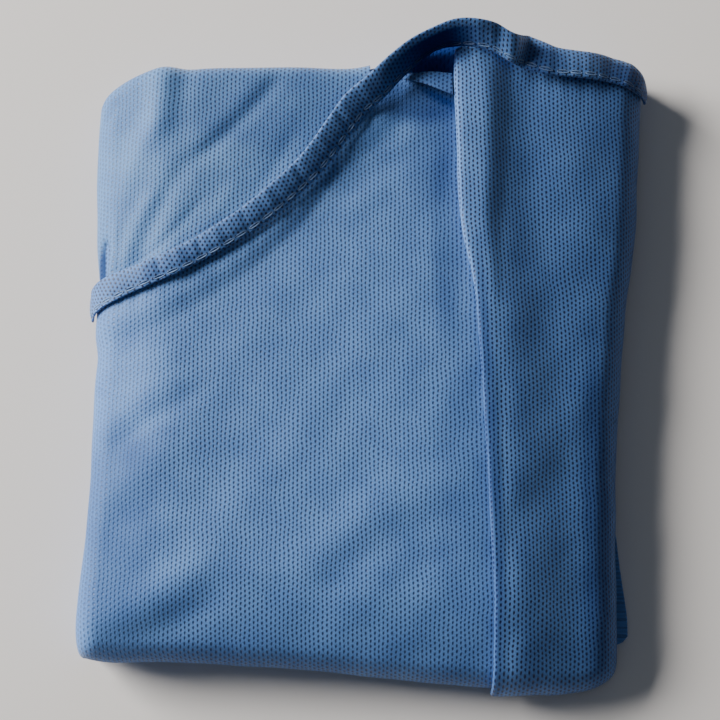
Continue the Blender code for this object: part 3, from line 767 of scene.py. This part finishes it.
# The front: one panel from the left edge to under the fold at the right, and up to the neckline.
# It is cut flat. Laid on the bundle it rolls over the left edge and the near end, and the pull of
# the folding has left long soft diagonal creases in it.

FRONT_LIFT_REACH = 24.0
FRONT_LIFT_FADE = 10.0
FRONT_LIFT_PAST = 12.0
RISE_TO = 6.0
RISE_FADE = 8.0
FRONT_UNDER_FOLD = 15.0
FRONT_DETAIL_OVER_NECK = 6.0
FRONT_DETAIL_OVER_FOLD = 4.0
GATHER_HEIGHT = 0.16
GATHER_FADE = 4.5

Fold = namedtuple("Fold", "along edge radius width")
FOLD = (
    Fold(-130.0, 46.4, 0.75, 3.0),
    Fold(-94.0, 46.8, 0.75, 3.0),
    Fold(-52.0, 45.4, 0.75, 3.2),
    Fold(-23.0, 44.2, 0.75, 3.6),
    Fold(9.0, 42.6, 0.75, 4.6),
    Fold(28.0, 41.0, 0.85, 6.0),
    Fold(46.0, 37.4, 1.1, 8.5),
    Fold(84.0, 35.6, 1.45, 12.0),
    Fold(109.0, 35.2, 1.6, 13.0),
    Fold(120.0, 36.0, 1.6, 13.0),
)

FRONT_CREASES = (
    Crease(-93.0, -26.0, -62.0, -7.0, 1.5, 4.5, 0.25),
    Crease(-90.0, -34.0, -56.0, -12.0, 1.0, 4.0, -0.5),
    Crease(-92.0, -49.0, -50.0, -28.0, 1.5, 6.0, 0.3),
    Crease(-88.0, -60.0, -50.0, -50.0, 2.0, 6.5, -0.35),
    Crease(-94.0, -94.0, -52.0, -72.0, -1.0, 6.0, 0.4),
    Crease(-56.0, -74.0, -8.0, -70.0, -2.0, 7.0, 0.25),
    Crease(-92.0, -104.0, -50.0, -86.0, -1.0, 5.0, -0.55),
    Crease(-54.0, -87.0, -12.0, -90.0, 2.0, 7.5, -0.3),
    Crease(-14.0, -82.0, 30.0, -54.0, 1.0, 6.0, -0.4),
    Crease(-26.0, -74.0, 26.0, -44.0, 1.0, 7.0, 0.25),
    Crease(-6.0, 53.0, 28.0, 73.0, 1.0, 4.5, 0.3),
    Crease(-8.0, 60.0, 22.0, 79.0, 1.0, 3.6, -0.3),
    Crease(2.0, 41.0, 30.0, 58.0, -1.0, 5.0, -0.2),
    Crease(31.0, 84.0, 35.0, 8.0, 0.0, 5.0, -0.25),
    Crease(-50.0, -20.0, -28.0, -34.0, 2.0, 9.0, -0.15),
    Crease(-40.0, 20.0, 10.0, 40.0, 2.0, 9.0, 0.12),
    Crease(-94.0, 8.0, -70.0, 14.0, 1.0, 4.0, 0.15),
    Crease(-94.0, 0.0, -66.0, 5.0, 1.0, 4.0, -0.15),
    Crease(-30.0, -104.0, 30.0, -98.0, -1.0, 5.0, 0.17),
)

# How dark the front's cloth is, how strongly its bonds show, and where shade is painted on it: by
# the hollow, beside the fold and along the near end, with one paler patch of painted light below
# the binding. It is stretched smooth on one patch under the neckline.
FRONT_TONE = 0.94
FRONT_BONDS = 0.92
FRONT_PAINTED_SHADE_AND_LIGHT = (
    Patch(28.5, 98.4, -30.0, 8.0, 1.9, 0.75),
    Patch(23.0, 97.0, 0.0, 19.0, 9.0, 0.62),
    Patch(27.0, 79.0, 80.0, 20.0, 9.0, 0.32),
    Patch(32.0, 45.0, 90.0, 38.0, 6.0, 0.32),
    Patch(38.0, -50.0, 88.0, 66.0, 11.0, 0.18),
    Patch(22.0, -66.0, 32.0, 26.0, 9.0, 0.14),
    Patch(-86.0, -60.0, 90.0, 36.0, 14.0, 0.34),
    Patch(-73.0, -32.0, 35.0, 11.0, 6.0, 0.2),
    Patch(-27.0, 46.5, 42.0, 26.0, 4.0, -0.3),
    Patch(0.0, -108.0, 0.0, 110.0, 9.0, 0.12),
    Patch(-56.0, -107.0, 0.0, 46.0, 9.0, 0.18),
)
SMOOTH_PATCHES = (Patch(9.0, 92.0, 50.0, 15.0, 6.0, 0.85),)


def fold_edge(along):
    """How far across the fold's edge lies."""
    return follow(FOLD, "along", "edge", along)


def front_lift(across, along):
    """Lift of the front panel's inner face: over the back panel by the neckline, and else low."""
    top = front_top(across)
    over_back = ease((along - top + FRONT_LIFT_REACH) / FRONT_LIFT_FADE)
    on_left = ease((BACK_TO + FRONT_LIFT_PAST - across) / FRONT_LIFT_FADE)
    seam = follow(NECK_FRONT, "across", "along", across)
    over_seam = np.clip((along - seam) / (top + RAW_EDGE - seam), 0.0, 1.0)
    rise = follow(NECK_FRONT, "across", "rise", across) * ease((RISE_TO - across) / RISE_FADE)
    lift = SEAM_GAP + (CLOTH + SEAM_GAP) * over_back * on_left + rise * over_seam
    return lift + swells(across, along)


def gathers(across, below_seam):
    """Ripples that the neck seam draws into a panel: uneven waves that die out below the seam."""
    wave = np.sin(across / 1.15 + 1.8 * np.sin(across / 6.0)) + 0.6 * np.sin(across / 2.3 + 1.0)
    return GATHER_HEIGHT * wave * np.exp(-np.maximum(below_seam, 0.0) / GATHER_FADE)


across, along = lay_grid(
    spacing(rolled(ROLL_LEFT, HANG), stations((0.0, 1.0, 104)), np.zeros(0)),
    spacing(rolled(ROLL_NEAR, HANG), stations((0.0, 1.0, 140)), np.zeros(0)),
    lambda along: (roll_starts(0.0 * along, along)[0], fold_edge(along) + FRONT_UNDER_FOLD),
    lambda across: (roll_starts(across, 0.0 * across)[2], front_top(across)),
)
seam = follow(NECK_FRONT, "across", "along", across)
shown = ease((seam - along + DETAIL_UNDER) / FRONT_DETAIL_OVER_NECK)
shown = shown * ease((fold_edge(along) + DETAIL_UNDER - across) / FRONT_DETAIL_OVER_FOLD)
details = creases(FRONT_CREASES, across, along) + rumple(across, along)
details = details + gathers(across, seam - along) * (across < NECK_FRONT[-1].across)
lift = front_lift(across, along) + CLOTH + details * shown
bonds = FRONT_BONDS * bonds_faded_by_painted_light(across) * patches(SMOOTH_PATCHES, across, along)
front = add_shell("gown_front", cloth(across, along, lift),
                  np.stack([across, along], axis=-1), outside,
                  FRONT_TONE * patches(FRONT_PAINTED_SHADE_AND_LIGHT, across, along), bonds)
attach(front, "root")
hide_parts("front_panel")

# The fold: at the right the front's cloth is folded back over itself in a soft knife pleat.
# A short return lies under it. Its edge is a plump roll by the neck and is pressed sharp further
# down, and its top sheet rolls over the right edge and the near end.

FOLD_TURN_STEPS = 15
FOLD_RETURN = 6.0
FOLD_SETTLED = 30.0
FOLD_MIDDLE = 60.0
FOLD_BAND_TILT = 0.9
FOLD_BAND_FROM = 0.75
FOLD_BAND_OVER = 0.95
FOLD_SEAM = 5.0
FOLD_DETAIL_FROM = 2.0
FOLD_DETAIL_OVER = 6.0

# The folded part has painted shade past the band along its edge, and more painted shade by its
# side, and its bonds show more strongly than the front's
FLAP_FROM = 1.2
FLAP_OVER = 8.0
FLAP_PAINTED_SHADE = 0.2
FLAP_SIDE_FROM = 82.0
FLAP_SIDE_OVER = 14.0
FLAP_SIDE_PAINTED_SHADE = 0.14
FOLD_TONE = 0.95
FOLD_BONDS = 1.4

FOLD_TOP = (
    Edge(34.0, 115.0),
    Edge(42.0, 117.4),
    Edge(49.0, 116.8),
    Edge(57.0, 114.4),
    Edge(66.0, 112.6),
    Edge(80.0, 110.4),
    Edge(92.0, 108.8),
    Edge(100.0, 107.2),
    Edge(107.0, 105.0),
)
FOLD_CREASES = (
    Crease(50.0, -60.0, 80.0, -38.0, 1.0, 7.0, -0.39),
    Crease(60.0, -76.0, 90.0, -50.0, 1.0, 7.0, 0.28),
    Crease(50.0, -98.0, 82.0, -82.0, 1.0, 6.0, -0.28),
    Crease(98.0, 50.0, 74.0, 16.0, 1.0, 6.0, -0.22),
    Crease(74.0, 104.0, 80.0, 40.0, 1.0, 10.0, 0.22),
    Crease(60.0, 96.0, 60.0, 40.0, 1.0, 5.0, -0.14),
    Crease(90.0, 6.0, 72.0, -28.0, 1.0, 7.0, 0.17),
    Crease(56.0, 36.0, 68.0, 2.0, 1.0, 6.0, -0.17),
)
# Patches of painted shade on the folded part, and one paler patch of painted light
FOLD_PAINTED_SHADE_AND_LIGHT = (
    Patch(45.4, -46.0, 91.5, 78.0, 3.4, 0.52),
    Patch(83.5, -58.0, 90.0, 62.0, 5.0, 0.42),
    Patch(67.0, -48.0, 90.0, 60.0, 8.0, -0.28),
)

bend = -np.linspace(0.5 * math.pi, 1.5 * math.pi, FOLD_TURN_STEPS)
returned = np.linspace(0.0, 1.0, 9)[:-1]
share = np.linspace(0.0, 1.0, 56)[1:] ** 1.2
past = rolled(ROLL_RIGHT, HANG)
under_it = slice(0, len(returned))
turned = slice(under_it.stop, under_it.stop + len(bend))
sheet = slice(turned.stop, turned.stop + len(share))
side = slice(sheet.stop, sheet.stop + len(past))
rows = spacing(rolled(ROLL_NEAR, HANG), stations((0.0, 0.85, 120), (0.85, 1.0, 34)), np.zeros(0))
row_steps = [step[:, None] for step in rows]
across = np.full((len(rows[0]), side.stop), FOLD_MIDDLE)
for _ in range(GRID_ROUNDS):
    high = follow(FOLD_TOP, "across", "along", across)
    along = between((roll_starts(across, 0.0 * across)[2], high), row_steps)
    radius = follow(FOLD, "along", "radius", along)
    edge = fold_edge(along)
    full = roll_starts(0.0 * along, along)[1] - edge
    over = np.zeros(along.shape)
    over[:, under_it] = FOLD_RETURN + (radius[:, under_it] - FOLD_RETURN) * returned
    over[:, turned] = radius[:, turned] * (1 + np.cos(bend))
    over[:, sheet] = radius[:, sheet] + (full - radius)[:, sheet] * share
    over[:, side] = full[:, side] + past
    across = edge + over
width = follow(FOLD, "along", "width", along)
under = front_lift(across, along) + CLOTH + SEAM_GAP + CLOTH / 2
settled = ease((over - FOLD_RETURN) / (FOLD_SETTLED - FOLD_RETURN))
rest = under + (CLOTH + SEAM_GAP) - settled * 2 * (CLOTH + SEAM_GAP)
band = 1 - ease((over / width - FOLD_BAND_FROM) / FOLD_BAND_OVER)
wider = (width - FOLD[0].width) / (FOLD[-1].width - FOLD[0].width)
tilt = FOLD_BAND_TILT * wider * np.clip(over / width, 0.0, 1.0)
middle_lift = rest + (2 * radius - CLOTH - SEAM_GAP + tilt) * band
middle_lift[:, under_it] = under[:, under_it]
middle_lift[:, turned] = under[:, turned] + radius[:, turned] * (1 + np.sin(bend))
on_sheet = ease((over - FOLD_DETAIL_FROM) / FOLD_DETAIL_OVER)
on_sheet[:, : turned.stop] = 0.0
details = creases(FOLD_CREASES, across, along) + rumple(across, along)
top_edge = follow(FOLD_TOP, "across", "along", across)
details = details + gathers(across, top_edge - FOLD_SEAM - along)
middle = cloth(across, along, middle_lift + details * on_sheet)
outer = middle + CLOTH / 2 * normals(middle)
over_cloth = np.cumsum(np.linalg.norm(np.diff(outer, axis=1, prepend=outer[:, :1]), axis=-1), axis=1)
places = np.stack([over_cloth - over_cloth[:, turned.start, None] + edge, along], axis=-1)
# Painted shade of the folded part: past its band, by its side, and in patches
past_band_shade = ease((over - FLAP_FROM * width) / FLAP_OVER)
past_band_shade[:, : turned.stop] = 0.0
side_shade = ease((across - FLAP_SIDE_FROM) / FLAP_SIDE_OVER)
fold_tone_and_painted_shade = (FOLD_TONE - FLAP_PAINTED_SHADE * past_band_shade) * (1 - FLAP_SIDE_PAINTED_SHADE * side_shade)
fold_tone_and_painted_shade = fold_tone_and_painted_shade * patches(FOLD_PAINTED_SHADE_AND_LIGHT, across, along)
fold = add_shell("gown_front_fold", outer, places, outside, fold_tone_and_painted_shade, FOLD_BONDS)
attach(fold, "root")
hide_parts("front_fold")

# The tuck: a small piece of the front's top edge that stands up inside the hollow.
# It shows only under the arch of the neckline and is darkened with painted shade, and its free side
# throws a short shadow, which is also painted as shade on the front below it.

TUCK_FROM = 16.0
TUCK_TO = 34.0
TUCK_LOW = (Edge(16.0, 104.8), Edge(22.5, 102.8), Edge(28.0, 100.2), Edge(34.0, 97.6))
TUCK_HIGH = (Edge(16.0, 106.4), Edge(24.0, 107.4), Edge(34.0, 106.6))
TUCK_RISE = 2.4
TUCK_RISE_OVER = 14.0
TUCK_SLOPE = 0.6
# The tuck is darkened to this share by painted shade
TUCK_PAINTED_SHADE = 0.5

share = np.linspace(0.0, 1.0, 14)
across = np.tile(np.linspace(TUCK_FROM, TUCK_TO, 26), (len(share), 1))
low = follow(TUCK_LOW, "across", "along", across)
high = follow(TUCK_HIGH, "across", "along", across)
along = low + (high - low) * share[:, None]
rise = TUCK_RISE * ease((across - TUCK_FROM) / TUCK_RISE_OVER) * (1 - TUCK_SLOPE * share[:, None])
lift = front_lift(across, along) + 2 * CLOTH + SEAM_GAP + rise
tuck = add_shell("gown_neck_tuck", cloth(across, along, lift),
                 np.stack([across, along], axis=-1), outside, TUCK_PAINTED_SHADE)
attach(tuck, "root")
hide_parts("neck_tuck")

# The neck binding: one strip of the same cloth folded in four round the raw neck edge.
# It is sewn down along its inner edge, which puckers it. It lies on the front, arches over the
# hollow, lands on the fold and turns down round the right edge.

Arch = namedtuple("Arch", "across along height outer_across outer_along outer_height")
NECK_ARCH = (
    Arch(8.6, 96.8, 27.4, 3.0, 104.4, 32.4),
    Arch(15.0, 104.8, 26.2, 10.6, 111.4, 33.8),
    Arch(21.7, 112.0, 25.0, 18.2, 117.2, 35.2),
    Arch(28.6, 117.0, 25.4, 26.6, 121.3, 36.6),
    Arch(36.0, 117.4, 27.6, 34.8, 124.0, 37.8),
    Arch(42.6, 116.2, 29.4, 42.2, 124.4, 37.2),
    Arch(49.3, 113.8, 30.0, 49.8, 123.4, 34.6),
    Arch(55.0, 110.4, 28.6, 56.6, 120.6, 31.2),
)
NECK_FOLD = (
    Neck(60.0, 108.0, 11.4, 0.4),
    Neck(68.0, 106.2, 10.8, 0.2),
    Neck(80.0, 106.0, 9.6, 0.0),
    Neck(92.0, 105.4, 10.0, 0.0),
    Neck(98.0, 104.2, 10.2, 0.0),
    Neck(103.0, 102.6, 9.6, 0.0),
    Neck(107.5, 101.4, 9.0, 0.0),
)
BINDING = 1.4
BINDING_CROWN = 0.35
BINDING_CLEAR = 0.3
BINDING_ROUND = 20
BINDING_STEP = 0.6
FOLD_LIFT = 5.0
FOLD_LIFT_LOSS = 2.6
FOLD_LIFT_FROM = 58.0
FOLD_LIFT_OVER = 38.0

# The row of stitches lies this share over the strip, and draws it down this far
STITCH_SHARE = 0.15
STITCH_PULL = 0.35
STITCH_PULL_HALF = 0.06

# How square the strip's section is, across and up, where 1 is an ellipse
SECTION_SQUARE = (0.7, 0.5)

# Puckers of the binding: where each lies along the strip, how much it leans, and its size
Pucker = namedtuple("Pucker", "at lean width height")
PUCKERS = (
    Pucker(7.0, 1.0, 1.6, 0.25),
    Pucker(19.0, -2.0, 1.4, -0.25),
    Pucker(31.0, 2.0, 1.8, 0.30),
    Pucker(36.0, 2.5, 1.2, -0.45),
    Pucker(44.0, 2.0, 1.6, 0.35),
    Pucker(52.0, 3.0, 1.2, -0.40),
    Pucker(60.0, 1.0, 2.0, 0.30),
    Pucker(71.0, 3.0, 1.3, -0.35),
    Pucker(83.0, 2.0, 1.8, 0.30),
    Pucker(97.0, 3.0, 1.4, -0.40),
    Pucker(112.0, 2.0, 1.8, 0.30),
    Pucker(123.0, 3.0, 1.4, -0.45),
    Pucker(137.0, 2.0, 2.2, 0.30),
    Pucker(152.0, 1.0, 2.2, -0.30),
    Pucker(188.0, 0.0, 3.0, 0.25),
    Pucker(195.5, 0.3, 2.2, -0.80),
    Pucker(201.5, 0.3, 2.6, 0.80),
    Pucker(212.0, 0.0, 3.0, -0.30),
    Pucker(222.0, 0.0, 3.2, -0.45),
    Pucker(234.0, 0.0, 6.0, 0.90),
    Pucker(243.0, 0.0, 2.0, -0.40),
    Pucker(250.0, 0.0, 2.0, 0.25),
)

# Painted shade on the binding's face along it: it is deepest inside the arch and between the wide
# puckers, its lit outer edge is kept free of it, and its bonds show strongly on the folded layers
PaintedShade = namedtuple("PaintedShade", "at share")
BINDING_PAINTED_SHADE = (
    PaintedShade(0.0, 1.0),
    PaintedShade(20.0, 0.96),
    PaintedShade(29.0, 0.86),
    PaintedShade(36.0, 0.7),
    PaintedShade(41.0, 0.86),
    PaintedShade(49.0, 0.72),
    PaintedShade(55.0, 0.88),
    PaintedShade(66.0, 0.96),
    PaintedShade(90.0, 0.95),
    PaintedShade(135.0, 0.85),
    PaintedShade(148.0, 0.6),
    PaintedShade(157.0, 0.24),
    PaintedShade(182.0, 0.2),
    PaintedShade(187.0, 0.5),
    PaintedShade(191.0, 0.75),
    PaintedShade(197.0, 0.85),
    PaintedShade(202.0, 1.0),
    PaintedShade(206.0, 0.66),
    PaintedShade(221.0, 0.62),
    PaintedShade(226.0, 0.95),
    PaintedShade(235.0, 1.0),
    PaintedShade(240.0, 0.66),
    PaintedShade(262.0, 0.5),
)
LIT_RIM_FROM = 0.76
LIT_RIM_OVER = 0.1
BINDING_BONDS = 1.35

front_in, front_out = neck_edges(NECK_FRONT)
fold_in, fold_out = neck_edges(NECK_FOLD)
on_front = SEAM_GAP + 2 * (CLOTH + SEAM_GAP) + BINDING_CLEAR
knots = []
for number, (on_cloth, on_fold) in enumerate(((front_in, fold_in), (front_out, fold_out))):
    front_rise = number * follow(NECK_FRONT, "across", "rise", front_in[:, 0])
    fold_rise = number * follow(NECK_FOLD, "across", "rise", fold_in[:, 0])
    prefix = "outer_" if number else ""
    arch = [column(NECK_ARCH, prefix + name) for name in ("across", "along", "height")]
    cloth_lift = on_front + swells(on_cloth[:, 0], on_cloth[:, 1]) + front_rise
    loss = FOLD_LIFT_LOSS * ease((on_fold[:, 0] - FOLD_LIFT_FROM) / FOLD_LIFT_OVER)
    knots.append(np.concatenate([
        cloth(on_cloth[:, 0], on_cloth[:, 1], cloth_lift),
        np.stack(arch, axis=-1),
        cloth(on_fold[:, 0], on_fold[:, 1], FOLD_LIFT - loss + fold_rise),
    ]))
knot_gaps = np.linalg.norm(np.diff((knots[0] + knots[1]) / 2, axis=0), axis=1)
knot_at = np.concatenate([[0.0], np.cumsum(knot_gaps)])
strip_length = float(knot_at[-1])
Knot = namedtuple("Knot", "at x y z")
STITCHED = [Knot(at, *point) for at, point in zip(knot_at, knots[0])]
OUTER = [Knot(at, *point) for at, point in zip(knot_at, knots[1])]


def strip(at, share, lift):
    """Points of the binding: this far along it, this share over it, this high off its underside."""
    low = np.stack([follow(STITCHED, "at", name, at) for name in "xyz"], axis=-1)
    high = np.stack([follow(OUTER, "at", name, at) for name in "xyz"], axis=-1)
    step = 0.5
    ahead = np.stack(
        [
            follow(STITCHED, "at", name, at + step) + follow(OUTER, "at", name, at + step)
            - follow(STITCHED, "at", name, at - step) - follow(OUTER, "at", name, at - step)
            for name in "xyz"
        ],
        axis=-1,
    )
    up = np.cross(ahead, high - low)
    up = up / np.linalg.norm(up, axis=-1, keepdims=True)
    return low + share[..., None] * (high - low) + lift[..., None] * up


def puckers(at, share):
    """Height of the binding's puckers: listed ones, and small even ones between stitches."""
    total = 0.07 * np.sin(at / 0.88 + 1.5 * np.sin(at / 9.0)) * (1.2 - share)
    for pucker in PUCKERS:
        off = (at - pucker.at - pucker.lean * share) / pucker.width
        total = total + pucker.height * np.exp(-(off**2)) * (0.55 + 0.45 * share)
    return total


def binding_lift(at, share):
    """Height of the binding's top: crowned, drawn down along the stitches, and puckered."""
    crown = BINDING + BINDING_CROWN * (1 - (2 * share - 1) ** 2)
    drawn = STITCH_PULL * np.exp(-(((share - STITCH_SHARE) / STITCH_PULL_HALF) ** 2))
    return crown - drawn + puckers(at, share)


turn = np.linspace(0.0, 2 * math.pi, BINDING_ROUND, endpoint=False)
stops = np.linspace(0.0, strip_length, round(strip_length / BINDING_STEP))
at, turn = np.meshgrid(stops, turn)
wide = np.sign(np.cos(turn)) * np.abs(np.cos(turn)) ** SECTION_SQUARE[0]
tall = np.sign(np.sin(turn)) * np.abs(np.sin(turn)) ** SECTION_SQUARE[1]
share = 0.5 - 0.5 * wide
lift = 0.5 * (1 + tall) * binding_lift(at, share)
tube = strip(at, share, lift)
face_painted_shade = follow(BINDING_PAINTED_SHADE, "at", "share", at)
rows, columns = tube.shape[:2]
index = np.arange(rows * columns).reshape(rows, columns)
closed = np.concatenate([index, index[:1]])
faces = np.stack([closed[:-1, :-1], closed[1:, :-1], closed[1:, 1:], closed[:-1, 1:]], axis=-1)
faces = faces.reshape(-1, 4)
round_length = np.cumsum(np.linalg.norm(np.diff(tube, axis=0, append=tube[:1]), axis=-1), axis=0)
round_place = np.concatenate([np.zeros((1, columns)), round_length])
spot = np.stack([np.concatenate([at, at[:1]]), round_place], axis=-1)
face_spots = np.stack([spot[:-1, :-1], spot[1:, :-1], spot[1:, 1:], spot[:-1, 1:]], axis=2)
face_spots = face_spots.reshape(-1, 4, 2)
half = rows // 2
cap_rows = np.stack([np.arange(half), np.arange(half) + 1], axis=-1)
mirror = (rows - cap_rows) % rows
caps = []
for end, flip in ((0, False), (columns - 1, True)):
    cap = np.stack([cap_rows[:, 0], cap_rows[:, 1], mirror[:, 1], mirror[:, 0]], axis=-1)
    cap = index[cap, end]
    caps.append(cap[:, ::-1] if flip else cap)
caps = np.concatenate(caps)
binding_cloth = nonwoven("SMS polypropylene nonwoven, neck strip", "#5080C4", "#4472B4", "#03123C")
binding = add_piece(
    "gown_neck_binding",
    tube.reshape(-1, 3),
    np.concatenate([faces, caps]),
    np.concatenate([face_spots, np.stack([at, share], axis=-1).reshape(-1, 2)[caps]]),
    binding_cloth,
    (face_painted_shade + (1 - face_painted_shade) * ease((share - LIT_RIM_FROM) / LIT_RIM_OVER)).ravel(),
    BINDING_BONDS,
)

# The stitches: one row of chain stitch in pale blue polyester thread, through the whole binding.
# It runs 1.3 mm in from the inner edge, a link every 5.5 mm, and lies proud of the cloth.

STITCH = 5.5
STITCH_LINK = (4.3, 0.085)
STITCH_MARGIN = 3.0
STITCH_UNEVEN = 0.25
LINK_STEPS = 18
THREAD = 0.11
THREAD_SHARE = 0.02
THREAD_STEPS = 6
THREAD_PROUD = 0.05

thread = bpy.data.materials.new("spun polyester thread, pale blue")
thread.use_nodes = True
thread_shader = thread.node_tree.nodes["Principled BSDF"]
# The thread takes the binding's painted shade: its colour is mixed toward the shade colour
thread_painted_shade = node(thread, "Attribute", {"attribute_name": "tone_and_painted_shade"})
shaded_thread = node(thread, "Mix", {"data_type": "RGBA"}, i0=thread_painted_shade.outputs["Fac"],
            i6=linear(SHADE_COLOUR), i7=linear("#84A5D2"))
thread.node_tree.links.new(shaded_thread.outputs[2], thread_shader.inputs["Base Color"])
thread_shader.inputs["Roughness"].default_value = 0.55

starts = np.arange(STITCH_MARGIN, strip_length - STITCH_MARGIN, STITCH)
uneven = STITCH_UNEVEN * np.sin(np.arange(len(starts)) * 2.4)
round_link = np.linspace(0.0, 2 * math.pi, LINK_STEPS, endpoint=False)
round_thread = np.linspace(0.0, 2 * math.pi, THREAD_STEPS, endpoint=False)
first, link, thread_turn = np.meshgrid(starts + uneven, round_link, round_thread, indexing="ij")
link_at = first + (STITCH_LINK[0] / 2 + THREAD * np.cos(thread_turn)) * np.cos(link)
link_share = (STITCH_LINK[1] / 2 + THREAD_SHARE * np.cos(thread_turn)) * np.sin(link)
link_share = STITCH_SHARE + link_share
link_at = np.clip(link_at, 0.0, strip_length)
link_lift = binding_lift(link_at, link_share) + THREAD_PROUD + THREAD * np.sin(thread_turn)
link_points = strip(link_at, link_share, link_lift)
sizes = link_points.shape[:3]
index = np.arange(np.prod(sizes)).reshape(sizes)
next_link = np.roll(index, -1, axis=1)
next_thread = np.roll(index, -1, axis=2)
both = np.roll(next_link, -1, axis=2)
link_faces = np.stack([index, next_link, both, next_thread], axis=-1).reshape(-1, 4)
link_places = np.stack([link_at, link_share], axis=-1).reshape(-1, 2)[link_faces]
stitches = add_piece("neck_stitches", link_points.reshape(-1, 3), link_faces, link_places, thread,
                     follow(BINDING_PAINTED_SHADE, "at", "share", link_at).ravel())
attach(binding, "root")
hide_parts("neck_binding")
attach(stitches, "root")

# The floor, the light and the camera: a pale sweep, one big soft window light low at the left, a
# weak fill from the room, and a camera almost straight above, as the photograph was taken.

FLOOR_HALF = 3.0

floor_mesh = bpy.data.meshes.new("floor")
floor_corners = [(x * FLOOR_HALF, y * FLOOR_HALF, 0.0) for x, y in ((-1, -1), (1, -1), (1, 1), (-1, 1))]
floor_mesh.from_pydata(floor_corners, [], [(0, 1, 2, 3)])
floor_paint = bpy.data.materials.new("matt white studio board")
floor_paint.use_nodes = True
floor_shader = floor_paint.node_tree.nodes["Principled BSDF"]
floor_shader.inputs["Base Color"].default_value = linear("#F2F2F2")
floor_shader.inputs["Roughness"].default_value = 0.9
floor_mesh.materials.append(floor_paint)
floor = bpy.data.objects.new("floor", floor_mesh)
bpy.context.scene.collection.objects.link(floor)


def aim(thing, place, target):
    """Puts a camera or a light at a place and points it at a target, both in metres."""
    thing.location = place
    thing.rotation_euler = (Vector(target) - Vector(place)).to_track_quat("-Z", "Y").to_euler()
    bpy.context.scene.collection.objects.link(thing)


WINDOW_PLACE = (-2.0, 0.9, 0.94)
WINDOW_SIZE = (1.3, 1.0)
WINDOW_POWER = 150.0
FILL = 0.10

window = bpy.data.lights.new("window", "AREA")
window.shape = "RECTANGLE"
window.size, window.size_y = WINDOW_SIZE
window.energy = WINDOW_POWER
window.color = linear("#FFF8F0")[:3]
aim(bpy.data.objects.new("window", window), WINDOW_PLACE, (0.0, 0.0, 0.0))

room = bpy.data.worlds.new("room")
room.use_nodes = True
room.node_tree.nodes["Background"].inputs["Color"].default_value = linear("#E8F0FF")
room.node_tree.nodes["Background"].inputs["Strength"].default_value = FILL
bpy.context.scene.world = room

CAMERA_RISE = math.radians(78.0)
CAMERA_AWAY = 620.0
CAMERA_LENS = 86.1
TARGET_HEIGHT = 20.0

target = Vector((-MIDDLE[0], -MIDDLE[1], TARGET_HEIGHT)) * MILLIMETRE
back_off = Vector((0.0, -math.cos(CAMERA_RISE), math.sin(CAMERA_RISE))) * CAMERA_AWAY * MILLIMETRE
lens = bpy.data.cameras.new("camera")
lens.lens = CAMERA_LENS
lens.clip_start = 0.01
camera = bpy.data.objects.new("camera", lens)
aim(camera, target + back_off, target)
bpy.context.scene.camera = camera
